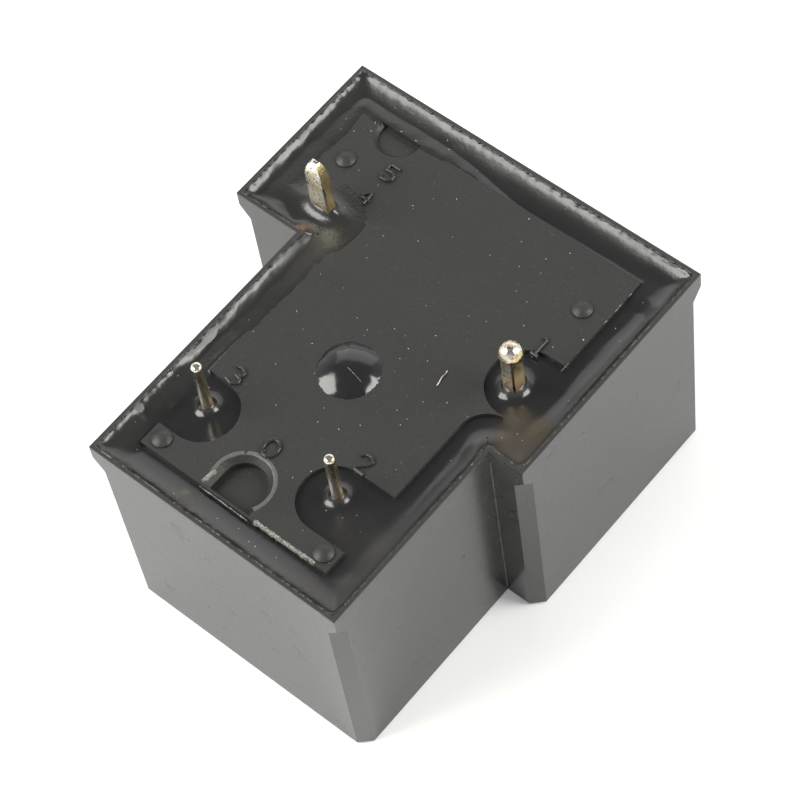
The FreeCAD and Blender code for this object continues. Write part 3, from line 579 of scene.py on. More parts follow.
# Colour, patch colour, smooth and dull roughness, and size of the patches
PLAIN_METALS = {
    "soft_iron": ((0.62, 0.61, 0.58), (0.50, 0.49, 0.46), 0.28, 0.42, 500.0),
    "spring_strip": ((0.72, 0.52, 0.32), (0.62, 0.43, 0.26), 0.25, 0.38, 600.0),
    "copper_strip": ((0.78, 0.45, 0.29), (0.62, 0.34, 0.20), 0.24, 0.40, 600.0),
    "rivet_brass": ((0.78, 0.62, 0.32), (0.66, 0.50, 0.26), 0.25, 0.38, 900.0),
    "contact_silver": ((0.86, 0.86, 0.84), (0.72, 0.71, 0.68), 0.16, 0.30, 900.0),
}
plain_metals = {}
for name, values in PLAIN_METALS.items():
    plain_metals[name] = plated_metal(name, *values, stretch=1.0, depth=0.01 * MM)[0]
print("metals:", tinned_pin.name, terminal_copper.name, *plain_metals)

# %% [markdown]
# The coil is wound from enamelled wire in neat layers, and the braid is woven from finer
# wire. Both are solids in the CAD model, so bands in the bump show their turns: across
# the axis for the winding, and in two crossed diagonals for the braid.

# %% Wound wire and braid
def banded_wire(name, colour, dark, bands, depth, diagonal):
    """Fine wire laid side by side, as bands in colour and bump."""
    material, tree, shader, where = start_material(name)
    heights = []
    for lean in ((1.0, -1.0) if diagonal else (0.0,)):
        mapping = tree.nodes.new("ShaderNodeMapping")
        mapping.inputs["Rotation"].default_value = (0.0, math.radians(35.0 * lean), 0.0)
        tree.links.new(where, mapping.inputs["Vector"])
        wave = tree.nodes.new("ShaderNodeTexWave")
        wave.bands_direction = "Z"
        wave.inputs["Scale"].default_value = bands
        wave.inputs["Distortion"].default_value = 0.4
        wave.inputs["Detail Scale"].default_value = 2.0
        tree.links.new(mapping.outputs["Vector"], wave.inputs["Vector"])
        heights.append(wave.outputs["Fac"])
    height = heights[0] if len(heights) == 1 else math_node(tree, "MAXIMUM", heights[0], heights[1])
    tree.links.new(mix_colours(tree, height, dark, colour), shader.inputs["Base Color"])
    tree.links.new(remap(tree, height, 0.0, 1.0, 0.45, 0.22), shader.inputs["Roughness"])
    shader.inputs["Metallic"].default_value = 0.9
    bump(tree, shader, height, depth, 0.8)
    return material


copper_wire = banded_wire("copper_wire", (0.74, 0.33, 0.15), (0.25, 0.09, 0.04), 1600.0, 0.06 * MM, False)
copper_braid = banded_wire("copper_braid", (0.78, 0.43, 0.27), (0.28, 0.13, 0.08), 2600.0, 0.08 * MM, True)

tape, tape_tree, tape_shader, tape_where = start_material("tape")
tape_noise = noise_value(tape_tree, tape_where, 900.0)
tape_colour = mix_colours(tape_tree, tape_noise, (0.80, 0.60, 0.12), (0.70, 0.48, 0.08))
tape_tree.links.new(tape_colour, tape_shader.inputs["Base Color"])
tape_shader.inputs["Roughness"].default_value = 0.2
bump(tape_tree, tape_shader, tape_noise, 0.02 * MM, 0.4)
print("wire finishes:", copper_wire.name, copper_braid.name, tape.name)

# %% [markdown]
# ## Dress the CAD nodes
#
# Each CAD node keeps its mesh and gets the finish of its material slot. The record names
# the slot of every node, so a table from slot to material is enough.

# %% Assign the finishes
finishes = {
    "case_plastic": case_plastic, "base_plastic": base_plastic, "bobbin_plastic": bobbin_plastic,
    "resin": plug_finish, "copper_wire": copper_wire, "tape": tape, "copper_braid": copper_braid,
    "tinned_pin": tinned_pin, "terminal_copper": terminal_copper, **plain_metals,
}
slot_of = {row["node"]: row["material_slot"] for row in frame["record"]["subparts"]}
for node_name, node in frame["nodes"].items():
    node.data.materials.clear()
    node.data.materials.append(finishes[slot_of[node_name]])
print("dressed", len(frame["nodes"]), "nodes in", len(set(slot_of.values())), "finishes")

# %% [markdown]
# ## The resin moat
#
# Resin is poured into the moat between the cover and the raised plateau. It wets
# everything it touches, so it climbs the wall of the cover right up to the rim, the
# plateau's edge and every pin, in hollow curves. Those curves are what shines in the
# photograph. The resin is made as a height field: a grid of points, each at the height
# that the nearest wall, edge and pin give it.

# %% Grid over the T
PITCH = 0.1
WALL_INSET = 0.32
grid_x = np.arange(-HALF_WIDTH + WALL_INSET, HALF_WIDTH - WALL_INSET + PITCH / 2, PITCH)
grid_y = np.arange(-HALF_LENGTH + WALL_INSET, HALF_LENGTH - WALL_INSET + PITCH / 2, PITCH)


def surface_tree(node_names):
    """A tree of the nodes' faces, for rays from above."""
    points, faces = [], []
    for name in node_names:
        mesh = frame["nodes"][name].data
        start = len(points)
        points += [v.co.copy() for v in mesh.vertices]
        faces += [[start + i for i in p.vertices] for p in mesh.polygons]
    return BVHTree.FromPolygons(points, faces)


def wall_distance(x, y, rounding=0.0):
    """Distance in mm to the T outline, negative outside; rounding joins two walls softly."""
    corners = outline(0.0)
    sides = []
    for (ax, ay), (bx, by) in zip(corners, corners[1:] + corners[:1]):
        run_x, run_y = bx - ax, by - ay
        share = np.clip(((x - ax) * run_x + (y - ay) * run_y) / (run_x ** 2 + run_y ** 2), 0, 1)
        sides.append(np.hypot(x - ax - share * run_x, y - ay - share * run_y))
    best = np.minimum.reduce(sides)
    if rounding:
        best = best - rounding * np.log(sum(np.exp((best - side) / rounding) for side in sides))
    head = (np.abs(x) <= HALF_WIDTH) & (y <= HALF_LENGTH)
    head &= y >= np.where(x < STEM_LEFT, NOTCH_LEFT, np.where(x > STEM_RIGHT, NOTCH_RIGHT, -HALF_LENGTH))
    return np.where(head, best, -best)


base_tree = surface_tree(["base"])
cell_x, cell_y = np.meshgrid((grid_x[:-1] + grid_x[1:]) / 2, (grid_y[:-1] + grid_y[1:]) / 2, indexing="ij")
top_hit = np.zeros(cell_x.shape)
for index, x in np.ndenumerate(cell_x):
    hit = base_tree.ray_cast(Vector((x * MM, cell_y[index] * MM, 0.03)), Vector((0, 0, -1)))[0]
    top_hit[index] = hit.z / MM if hit else 0.0
print("grid of", cell_x.shape, "cells, on the plateau", int((top_hit > PLATEAU_Z - 0.05).sum()))

# %% [markdown]
# The pins pass through small holes in the base, so the rays find no floor beside them.
# The place of each pin is needed anyway for the resin that climbs it, so the script
# takes the rectangle that each pin fills above the resin. The common pin's solder drop is
# wider than its shaft, so that overhang comes off. Round a flat pin the resin's edge is
# an oval, not a rectangle, because resin has no corners.

# %% Feet of the pins
ROUND_PINS = ("coil_pin_left", "coil_pin_right")
SOLDER_OVERHANG = {"common_terminal": (0.31, 0.25)}
ROUND_RADIUS = 0.36
feet = {}
for name in ROUND_PINS + ("common_terminal", "fixed_terminal"):
    points = np.array([v.co for v in frame["nodes"][name].data.vertices]) / MM
    above = points[points[:, 2] > RESIN_Z + 0.2]
    trim_x, trim_y = SOLDER_OVERHANG.get(name, (0.0, 0.0))
    feet[name] = (above[:, 0].min() + trim_x, above[:, 0].max() - trim_x,
                  above[:, 1].min() + trim_y, above[:, 1].max() - trim_y)
    print(name, "foot in mm", [round(float(v), 2) for v in feet[name]])


def pin_distance(name, x, y):
    """Distance in mm from a pin's surface, at the height of the resin."""
    x0, x1, y0, y1 = feet[name]
    if name in ROUND_PINS:
        return np.hypot(x - (x0 + x1) / 2, y - (y0 + y1) / 2) - ROUND_RADIUS
    half_x, half_y = (x1 - x0) / 2, (y1 - y0) / 2
    share = np.hypot((x - (x0 + x1) / 2) / half_x, (y - (y0 + y1) / 2) / half_y)
    return (share - 1.1) * min(half_x, half_y)


# %% [markdown]
# On the left side and at the left of the far side the resin stands so high that it flows
# over the plateau's edge, and the edge can't be seen. Elsewhere it stays lower and the
# edge is sharp. One weight from 0 to 1 says where it overflows, and another how high the
# resin stands between its normal level and the plateau's top. Both are made of soft
# steps in x and y, so that no seam shows in the glossy surface.

# %% Where the resin stands high
def smooth_step(value):
    """0 to 1 with soft ends."""
    value = np.clip(value, 0.0, 1.0)
    return value * value * (3 - 2 * value)


def overflow_weight(x, y):
    """1 where the resin covers the plateau's edge."""
    left = smooth_step((-3.8 - x) / 2.0) * smooth_step((y + 5.5) / 2.0)
    left = np.maximum(left, smooth_step((-6.2 - x) / 0.6) * smooth_step((y + 9.5) / 2.0))
    far = smooth_step((2.5 - x) / 8.0) * smooth_step((y - 11.8) / 1.2)
    return np.maximum(left, far)


def level_weight(x, y):
    """0 at the normal level of the resin, 1 at the height of the plateau."""
    left = smooth_step((-3.8 - x) / 2.0) * smooth_step((y + 5.5) / 2.0)
    left = np.maximum(left, 0.75 * smooth_step((-6.2 - x) / 1.2))
    flush = 0.25 * smooth_step((-1.0 - x) / 6.0)
    far = (0.30 + 0.25 * smooth_step(x / 13.0) + flush) * smooth_step((y - 11.8) / 1.2)
    return np.maximum(left * smooth_step((15.2 - y) / 3.2), far)


print("overflow left, right:", float(overflow_weight(-12.0, 8.0)), float(overflow_weight(12.0, 8.0)))

# %% [markdown]
# Every point of the grid needs its distance to the nearest wall and to the plateau's
# edge. The wall is a known outline. The edge has wells and pockets, so the script looks
# for the nearest cell whose ray hit the plateau instead. Four noises, from slow to fast,
# later keep the resin from looking ruled.

# %% Distances that the climbs need
def nearest_distances(found_x, found_y, x, y):
    """Distance in mm from each point to the nearest of the found cells."""
    finder = kdtree.KDTree(len(found_x))
    for number, (a, b) in enumerate(zip(found_x, found_y)):
        finder.insert((a, b, 0.0), number)
    finder.balance()
    result = np.zeros(x.shape)
    for index, a in np.ndenumerate(x):
        result[index] = finder.find((a, y[index], 0.0))[2]
    return np.maximum(result - 0.71 * PITCH, 0.0)


on_plateau = top_hit > PLATEAU_Z - 0.05
raised = top_hit > RESIN_Z - 0.1
point_x, point_y = np.meshgrid(grid_x, grid_y, indexing="ij")
outside_plateau = nearest_distances(cell_x[raised], cell_y[raised], point_x, point_y)
inside_plateau = nearest_distances(cell_x[~raised], cell_y[~raised], point_x, point_y)
to_wall = wall_distance(point_x, point_y)
soft_wall = wall_distance(point_x, point_y, 0.22)
weight = overflow_weight(point_x, point_y)
waves, blots, patches, frays = (np.zeros(point_x.shape) for _ in range(4))
for index, x in np.ndenumerate(point_x):
    waves[index] = noise.noise(Vector((x / 2.6, point_y[index] / 2.6, 0.3)))
    blots[index] = noise.noise(Vector((x / 1.5, point_y[index] / 1.5, 8.1)))
    patches[index] = noise.noise(Vector((x / 0.9, point_y[index] / 0.9, 4.7)))
    frays[index] = noise.noise(Vector((x / 0.4, point_y[index] / 0.4, 9.3)))
print("points where the resin overflows:", int((weight > 0.5).sum()))

# %% [markdown]
# The resin climbs a wall in a hollow curve: steep at the wall and flat where it ends. A
# power of the distance gives that curve. How far it reaches differs from side to side
# and wanders with a slow noise, and a thin frayed lip stands where it touches the wall.
# Every pin lifts the resin round it too, though less high than a wall.

# %% Heights of the resin
CONTACT = 0.34
CLIMB_TOP = RIM_Z - 0.07
HEIGHT_LIMIT = RIM_Z - 0.04
OVERFLOW_RISE = 0.33
CLIMB_SHARE = 0.83
CLIMB_CURVE = 2.1
LIP_WIDTH = 0.13
EDGE_BEAD = 0.03
EDGE_TOP = PLATEAU_Z - 0.015
EDGE_REACH = 0.25
OVERFLOW_REACH = 1.45
ROUND_PIN_CLIMB = (0.50, 0.28)
FLAT_PIN_CLIMB = (0.58, 0.31)

level = RESIN_Z + OVERFLOW_RISE * level_weight(point_x, point_y)
climb = CLIMB_TOP - level
left_side = smooth_step((-6.0 - point_x) / 1.5)
far_side = smooth_step((point_y - 12.0) / 1.5)
left_only = left_side * (1 - far_side)
thick = np.maximum(smooth_step((point_y + 8.6) / 1.4), np.exp(-((point_y + 12.0) / 0.7) ** 2))
reach_left = (0.95 + 0.60 * blots) * thick + 2.2 * (1 - thick)
reach = 1.9 + 0.5 * smooth_step((-12.5 - point_y) / 1.5)
reach = reach + (0.45 - 0.75 * smooth_step(point_x / 13.0)) * far_side
reach = (reach + 0.20 * waves) * (1 - left_only) + reach_left * left_only
at_wall = np.clip(1 - (soft_wall - CONTACT) / reach, 0, 1.0)
lip = (0.17 + 0.16 * frays) * np.exp(-np.maximum(soft_wall - CONTACT, 0) / LIP_WIDTH)
heights = level + climb * (CLIMB_SHARE * at_wall ** CLIMB_CURVE + lip)
heights = np.minimum(heights, HEIGHT_LIMIT)
edge_rise = EDGE_BEAD + (EDGE_TOP - level) * weight
edge_reach = EDGE_REACH + OVERFLOW_REACH * weight
near_edge = np.clip(1 - outside_plateau / edge_reach, 0, 1)
at_edge = near_edge ** 2 * (1 - weight) + smooth_step(near_edge) * weight
bank = level + 0.2 * climb * at_wall ** 2.2 + edge_rise * at_edge * (1 + 0.15 * patches)
heights = np.maximum(heights, bank)
film = PLATEAU_Z + 0.015 * weight - 0.5 * (1 - weight)
film = film - 0.045 * inside_plateau + 0.01 * patches * weight
heights = np.where(inside_plateau > 0, np.maximum(film, RESIN_Z), heights)
for name in feet:
    rise, spread = ROUND_PIN_CLIMB if name in ROUND_PINS else FLAT_PIN_CLIMB
    heights += rise * np.exp(-np.maximum(pin_distance(name, point_x, point_y), 0) / spread)
heights += 0.010 * waves
bevel = RIM_Z - (to_wall - 0.25) * 0.7 / 0.65 - 0.06
bottoms = np.where(to_wall < 0.95, np.clip(bevel, FLANGE_Z, RIM_Z - 0.2), FLANGE_Z)
highest = float(heights[to_wall > CONTACT].max())
print("resin from", round(float(heights.min()), 2), "to", round(highest, 2), "mm")

# %% [markdown]
# Not every cell of the grid is wet. Resin fills the open floor of the moat and the wells,
# the band under the rim and the cells round the pins. Where it overflows, a film with a
# ragged front lies on the plateau too.

# %% Which cells hold resin
cell_wall = wall_distance(cell_x, cell_y)
near_pin = np.minimum.reduce([pin_distance(name, cell_x, cell_y) for name in feet])
open_floor = (top_hit > FLANGE_Z - 0.1) & (top_hit < FLANGE_Z + 0.05)
cell_inside = nearest_distances(cell_x[open_floor], cell_y[open_floor], cell_x, cell_y)
rim_band = cell_wall < 1.3
at_edge_cells = raised & (cell_inside < 0.06)
ragged = np.array([noise.noise(Vector((a / 0.7, b / 0.7, 3.1))) for a, b in zip(cell_x.flat, cell_y.flat)])
film_reach = 0.15 + 0.30 * smooth_step((cell_y + 4.0) / 3.0) + 0.6 * ragged.reshape(cell_x.shape)
film_cells = on_plateau & (cell_inside < film_reach) & (overflow_weight(cell_x, cell_y) > 0.3)
beside_pins = (near_pin < 0.5) & ~raised
wet = open_floor | beside_pins | rim_band | at_edge_cells | film_cells
wet &= cell_wall > WALL_INSET
print("cells with resin:", int(wet.sum()))

# %% [markdown]
# A height field is only a skin. To be a solid it needs a floor and side walls, so every
# wet cell gets a face above and one below, and a side wall wherever its neighbour is dry.
# The walls share their corners with the skin, which keeps the solid closed.

# %% Build the height field as one closed solid
def smooth_mesh(name, vertices, faces, sharp_degrees):
    """A smooth mesh that keeps its edges sharp above an angle."""
    mesh = bpy.data.meshes.new(name)
    mesh.from_pydata(vertices, [], faces)
    mesh.polygons.foreach_set("use_smooth", [True] * len(mesh.polygons))
    mesh.set_sharp_from_angle(angle=math.radians(sharp_degrees))
    mesh.update()
    return mesh


def height_field(name, xs, ys, tops, bottoms, mask):
    """A closed mesh over the masked cells, in metres, with outward faces."""
    number = {}
    vertices, faces = [], []

    def corner(i, j, is_top):
        key = (i, j, is_top)
        if key not in number:
            number[key] = len(vertices)
            z = tops[i, j] if is_top else bottoms[i, j]
            vertices.append((xs[i] * MM, ys[j] * MM, z * MM))
        return number[key]

    def has(i, j):
        return 0 <= i < mask.shape[0] and 0 <= j < mask.shape[1] and mask[i, j]

    for i, j in zip(*np.nonzero(mask)):
        around = ((i, j), (i + 1, j), (i + 1, j + 1), (i, j + 1))
        a, b, c, d = [corner(*place, True) for place in around]
        e, f, g, h = [corner(*place, False) for place in around]
        faces.append((a, b, c, d))
        faces.append((h, g, f, e))
        if not has(i - 1, j):
            faces.append((a, d, h, e))
        if not has(i + 1, j):
            faces.append((b, f, g, c))
        if not has(i, j - 1):
            faces.append((a, e, f, b))
        if not has(i, j + 1):
            faces.append((d, c, g, h))
    return smooth_mesh(name, vertices, faces, 50)


resin_mesh = height_field("sealing_resin", grid_x, grid_y, heights, bottoms, wet)
print("resin mesh:", len(resin_mesh.vertices), "points")

# %% [markdown]
# Every finished piece rides on a body of the frame. Where a piece shows what a CAD node shows too, it
# replaces that node in the picture, as the poured resin does with the plain one.

# %% Make the resin a piece
def add_piece(name, mesh, material, body="housing"):
    """Links a finished mesh as a piece that rides on a body."""
    piece = bpy.data.objects.new(name, mesh)
    scene.collection.objects.link(piece)
    mesh.materials.clear()
    mesh.materials.append(material)
    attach(piece, body)
    print(name, len(mesh.polygons), "faces")
    return piece


sealing_resin = add_piece("sealing_resin", resin_mesh, resin_finish)
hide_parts("potting_resin")

# %% [markdown]
# The iron core's end is sealed with a drop of resin of its own. It stands in a round
# well of the plateau and bulges above it like a lens, with a ragged outline where it ran
# onto the plateau. Rings of points make it, from the top of the lens outwards, and noise
# moves its outline.

# %% Drop over the core's end
low_plug, high_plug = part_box("core_plug")
PLUG_X, PLUG_Y = (low_plug.x + high_plug.x) / 2 / MM, (low_plug.y + high_plug.y) / 2 / MM
PLUG_RADIUS = (high_plug.x - low_plug.x) / 2 / MM
DROP_RISE = 0.66
DROP_CURVE = 2.25
DROP_SPREAD = 0.08


def resin_drop(name, rings=26, sectors=96):
    """A bulging drop with a ragged outline, closed below."""
    def point(radius, turn, height):
        return ((PLUG_X + radius * math.cos(turn)) * MM, (PLUG_Y + radius * math.sin(turn)) * MM,
                (PLATEAU_Z + height) * MM)

    vertices, faces = [point(0.0, 0.0, DROP_RISE)], []
    for ring in range(1, rings + 1):
        share = ring / rings
        for sector in range(sectors):
            turn = 2 * math.pi * sector / sectors
            wavy = 0.06 * noise.noise(Vector((2.5 * math.cos(turn), 2.5 * math.sin(turn), 1.5)))
            ragged = 0.07 * noise.noise(Vector((14 * math.cos(turn), 14 * math.sin(turn), 2.5)))
            radius = share * (PLUG_RADIUS + DROP_SPREAD + wavy) + ragged * share ** 30
            dent = 0.03 * noise.noise(Vector((radius * math.cos(turn), radius * math.sin(turn), 6.0)))
            rise = DROP_RISE * (1 - share ** DROP_CURVE) + dent * share ** 2 * (1 - share ** 4)
            vertices.append(point(radius, turn, rise - 0.01))
    for sector in range(sectors):
        ahead = (sector + 1) % sectors
        faces.append((0, 1 + sector, 1 + ahead))
        for ring in range(rings - 1):
            inner, outer = 1 + ring * sectors, 1 + (ring + 1) * sectors
            faces.append((inner + sector, outer + sector, outer + ahead, inner + ahead))
    top_count = len(vertices)
    last = 1 + (rings - 1) * sectors
    for sector in range(sectors):
        vertices.append(point(PLUG_RADIUS - 0.03, 2 * math.pi * sector / sectors, -0.3))
    for sector in range(sectors):
        ahead = (sector + 1) % sectors
        faces.append((last + sector, top_count + sector, top_count + ahead, last + ahead))
    faces.append(tuple(reversed(range(top_count, top_count + sectors))))
    return smooth_mesh(name, vertices, faces, 60)


core_drop = add_piece("core_drop", resin_drop("core_drop"), plug_finish)
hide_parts("core_plug")

# %% [markdown]
# ## Raised numbers
#
# Each pin has a small raised number beside it. A number is a stroke that follows a path,
# so Geometry Nodes draw it: the path becomes a curve, its corners are rounded, and a
# small rounded bar runs along it. One tree serves all the numbers.

# %% Tree that draws a stroke along a path
def new_tree(name, inputs):
    """A geometry tree with named inputs, its two ends and the ids of its inputs."""
    tree = bpy.data.node_groups.new(name, "GeometryNodeTree")
    tree.interface.new_socket("Geometry", in_out="INPUT", socket_type="NodeSocketGeometry")
    tree.interface.new_socket("Geometry", in_out="OUTPUT", socket_type="NodeSocketGeometry")
    ids = {}
    for key, kind in inputs.items():
        ids[key] = tree.interface.new_socket(key, in_out="INPUT", socket_type=kind).identifier
    return tree, tree.nodes.new("NodeGroupInput"), tree.nodes.new("NodeGroupOutput"), ids


def finish_tree(tree, start, end, geometry):
    """Ends a tree with real geometry and its material."""
    real = tree.nodes.new("GeometryNodeRealizeInstances")
    paint = tree.nodes.new("GeometryNodeSetMaterial")
    tree.links.new(geometry, real.inputs["Geometry"])
    tree.links.new(real.outputs["Geometry"], paint.inputs["Geometry"])
    tree.links.new(start.outputs["Material"], paint.inputs["Material"])
    tree.links.new(paint.outputs["Geometry"], end.inputs[0])


FLOAT = "NodeSocketFloat"
stroke_tree, stroke_in, stroke_end, stroke_ids = new_tree("number_stroke", {
    "Width": FLOAT, "Rise": FLOAT, "Corner": FLOAT, "Material": "NodeSocketMaterial"})
stroke_curve = stroke_tree.nodes.new("GeometryNodeMeshToCurve")
stroke_round = stroke_tree.nodes.new("GeometryNodeFilletCurve")
stroke_round.mode = "POLY"
stroke_round.inputs["Count"].default_value = 4
stroke_up = stroke_tree.nodes.new("GeometryNodeSetCurveNormal")
stroke_up.mode = "Z_UP"
stroke_bar = stroke_tree.nodes.new("GeometryNodeCurvePrimitiveQuadrilateral")
stroke_bar_round = stroke_tree.nodes.new("GeometryNodeFilletCurve")
stroke_bar_round.mode = "POLY"
stroke_bar_round.inputs["Count"].default_value = 2
stroke_bar_round.inputs["Radius"].default_value = 0.07 * MM
stroke_sweep = stroke_tree.nodes.new("GeometryNodeCurveToMesh")
stroke_sweep.inputs["Fill Caps"].default_value = True
link = stroke_tree.links.new
link(stroke_in.outputs["Geometry"], stroke_curve.inputs["Mesh"])
link(stroke_curve.outputs["Curve"], stroke_round.inputs["Curve"])
link(stroke_in.outputs["Corner"], stroke_round.inputs["Radius"])
link(stroke_round.outputs["Curve"], stroke_up.inputs["Curve"])
link(stroke_in.outputs["Width"], stroke_bar.inputs["Width"])
link(stroke_in.outputs["Rise"], stroke_bar.inputs["Height"])
link(stroke_bar.outputs["Curve"], stroke_bar_round.inputs["Curve"])
link(stroke_up.outputs["Curve"], stroke_sweep.inputs["Curve"])
link(stroke_bar_round.outputs["Curve"], stroke_sweep.inputs["Profile Curve"])
finish_tree(stroke_tree, stroke_in, stroke_end, stroke_sweep.outputs["Mesh"])
print("number_stroke:", len(stroke_tree.nodes), "nodes")

# %% [markdown]
# A tree needs a mesh to work on. The script gives it a helper that holds only a path or
# a few faces, takes the finished shape as a plain mesh, and removes the helper. So every
# piece ends as an ordinary mesh whose object stands at the origin.

# %% Run a tree on a helper mesh and keep the result
def grow(name, points_mm, edges, faces, tree, ids, values):
    """Runs a geometry tree on a helper mesh and returns the result as a plain mesh."""
    helper_mesh = bpy.data.meshes.new(name + "_path")
    helper_mesh.from_pydata([tuple(c * MM for c in p) for p in points_mm], edges, faces)
    helper = bpy.data.objects.new(name + "_path", helper_mesh)
    scene.collection.objects.link(helper)
    modifier = helper.modifiers.new("grow", "NODES")
    modifier.node_group = tree
    for key, value in values.items():
        modifier[ids[key]] = value
    shown = helper.evaluated_get(bpy.context.evaluated_depsgraph_get())
    result = bpy.data.meshes.new_from_object(shown)
    result.name = name
    bpy.data.objects.remove(helper)
    bpy.data.meshes.remove(helper_mesh)
    return result


def path_edges(count, closed=False, start=0):
    """Edges of one path through consecutive points."""
    edges = [(start + i, start + i + 1) for i in range(count - 1)]
    return edges + ([(start + count - 1, start)] if closed else [])


def oval(width, height, count=14):
    """Points round an oval that stands on the origin."""
    turns = [2 * math.pi * i / count for i in range(count)]
    return [(width / 2 * (1 + math.cos(t)), height / 2 * (1 + math.sin(t))) for t in turns]


print("an oval has", len(oval(1.0, 1.0)), "points")

# %% [markdown]
# The strokes of each number are given on a small grid of its own, in millimetres, with
# the place of its lower left corner on the plateau. They are the plain moulded figures
# of such relays, about 1.2 mm high. Their line is only 0.2 mm wide.

# %% Draw the numbers
NUMBER_STROKES = {
    "number_5": ((-7.46, 10.08), False, [
        [(0.90, 1.20), (0.12, 1.20), (0.08, 0.70), (0.55, 0.76), (0.88, 0.58),
         (0.90, 0.26), (0.62, 0.02), (0.20, 0.02), (0.0, 0.22)]]),
    "number_4": ((-7.42, 7.84), False, [
        [(0.56, 0.0), (0.56, 1.16), (0.0, 0.40), (0.80, 0.40)]]),
    "number_1": ((8.68, 5.55), False, [
        [(0.0, 0.0), (0.56, 0.0)],
        [(0.28, 0.0), (0.28, 1.50), (0.02, 1.18)]]),
    "number_3": ((-5.36, -7.25), False, [
        [(0.0, 1.12), (0.40, 1.26), (0.80, 1.06), (0.78, 0.76), (0.36, 0.64)],
        [(0.40, 0.64), (0.84, 0.54), (0.88, 0.20), (0.50, 0.0), (0.0, 0.12)]]),
    "number_2": ((4.98, -7.30), False, [
        [(0.02, 0.92), (0.16, 1.22), (0.62, 1.28), (0.94, 1.02), (0.80, 0.66),
         (0.06, 0.03), (1.0, 0.03)]]),
    "number_0": ((-0.24, -9.88), True, [oval(0.98, 1.28)]),
}
STROKE_WIDTH = 0.20
STROKE_RISE = 0.36
STROKE_CORNER = 0.10
for name, ((left, bottom), closed, strokes) in NUMBER_STROKES.items():
    points, edges = [], []
    for stroke in strokes:
        edges += path_edges(len(stroke), closed, len(points))
        points += [(left + x, bottom + y, PLATEAU_Z) for x, y in stroke]
    mesh = grow(name, points, edges, [], stroke_tree, stroke_ids, {
        "Width": STROKE_WIDTH * MM, "Rise": STROKE_RISE * MM, "Corner": STROKE_CORNER * MM,
        "Material": number_plastic})
    add_piece(name, mesh, number_plastic)

# %% [markdown]
# ## Ragged beads
#
# The edges of the real thing aren't clean. A thin ragged skin of resin runs along the inner edge of the rim,
# and pale torn flash stands on the plateau's near edge and in the mouths of its pockets. Other pale beads
# paint highlights: on the plateau's right edge, at the left sides of the two pockets, round the large
# pocket's lip and in the corner of the right notch. They are all the same form, a thin bead that wanders and
# changes its thickness along a path, so one tree makes them from other inputs.

# %% Tree of a ragged bead
bead_tree, bead_in, bead_end, bead_ids = new_tree("ragged_bead", {
    "Step": FLOAT, "Radius": FLOAT, "Unevenness": FLOAT, "Wander": FLOAT, "Detail Scale": FLOAT,
    "Seed": FLOAT, "Material": "NodeSocketMaterial"})
bead_curve = bead_tree.nodes.new("GeometryNodeMeshToCurve")
bead_steps = bead_tree.nodes.new("GeometryNodeResampleCurve")
bead_steps.mode = "LENGTH"
bead_noise = bead_tree.nodes.new("ShaderNodeTexNoise")
bead_noise.noise_dimensions = "4D"
bead_place = bead_tree.nodes.new("GeometryNodeSetPosition")
bead_radius = bead_tree.nodes.new("GeometryNodeSetCurveRadius")
bead_profile = bead_tree.nodes.new("GeometryNodeCurvePrimitiveCircle")
bead_profile.inputs["Resolution"].default_value = 6
bead_profile.inputs["Radius"].default_value = 1.0
bead_sweep = bead_tree.nodes.new("GeometryNodeCurveToMesh")
bead_sweep.inputs["Fill Caps"].default_value = True
link = bead_tree.links.new
link(bead_in.outputs["Geometry"], bead_curve.inputs["Mesh"])
link(bead_curve.outputs["Curve"], bead_steps.inputs["Curve"])
link(bead_in.outputs["Step"], bead_steps.inputs["Length"])
link(bead_in.outputs["Detail Scale"], bead_noise.inputs["Scale"])
link(bead_in.outputs["Seed"], bead_noise.inputs["W"])
off_centre = bead_tree.nodes.new("ShaderNodeVectorMath")
off_centre.operation = "SUBTRACT"
off_centre.inputs[1].default_value = (0.5, 0.5, 0.5)
link(bead_noise.outputs["Color"], off_centre.inputs[0])
wander = bead_tree.nodes.new("ShaderNodeVectorMath")
wander.operation = "SCALE"
link(off_centre.outputs["Vector"], wander.inputs[0])
link(bead_in.outputs["Wander"], wander.inputs["Scale"])
link(bead_steps.outputs["Curve"], bead_place.inputs["Geometry"])
link(wander.outputs["Vector"], bead_place.inputs["Offset"])
swing = remap(bead_tree, bead_noise.outputs[0], 0.32, 0.68)
swing = math_node(bead_tree, "POWER", swing, 1.8)
swing = math_node(bead_tree, "MULTIPLY_ADD", swing, 0.0)
link(bead_in.outputs["Unevenness"], swing.node.inputs[1])
link(bead_in.outputs["Radius"], swing.node.inputs[2])
link(bead_place.outputs["Geometry"], bead_radius.inputs["Curve"])
link(swing, bead_radius.inputs["Radius"])
link(bead_radius.outputs["Curve"], bead_sweep.inputs["Curve"])
link(bead_profile.outputs["Curve"], bead_sweep.inputs["Profile Curve"])
radius_reader = bead_tree.nodes.new("GeometryNodeInputRadius")
link(radius_reader.outputs["Radius"], bead_sweep.inputs["Scale"])
finish_tree(bead_tree, bead_in, bead_end, bead_sweep.outputs["Mesh"])
print("ragged_bead:", len(bead_tree.nodes), "nodes")

# %% [markdown]
# The pale flash is thin plastic, torn and rough, so it scatters light and looks almost white beside the
# black. The same pale finish paints highlights on edges and corners where the dark plastic only shines. It
# gets its own finish with a coarse, broken bump.

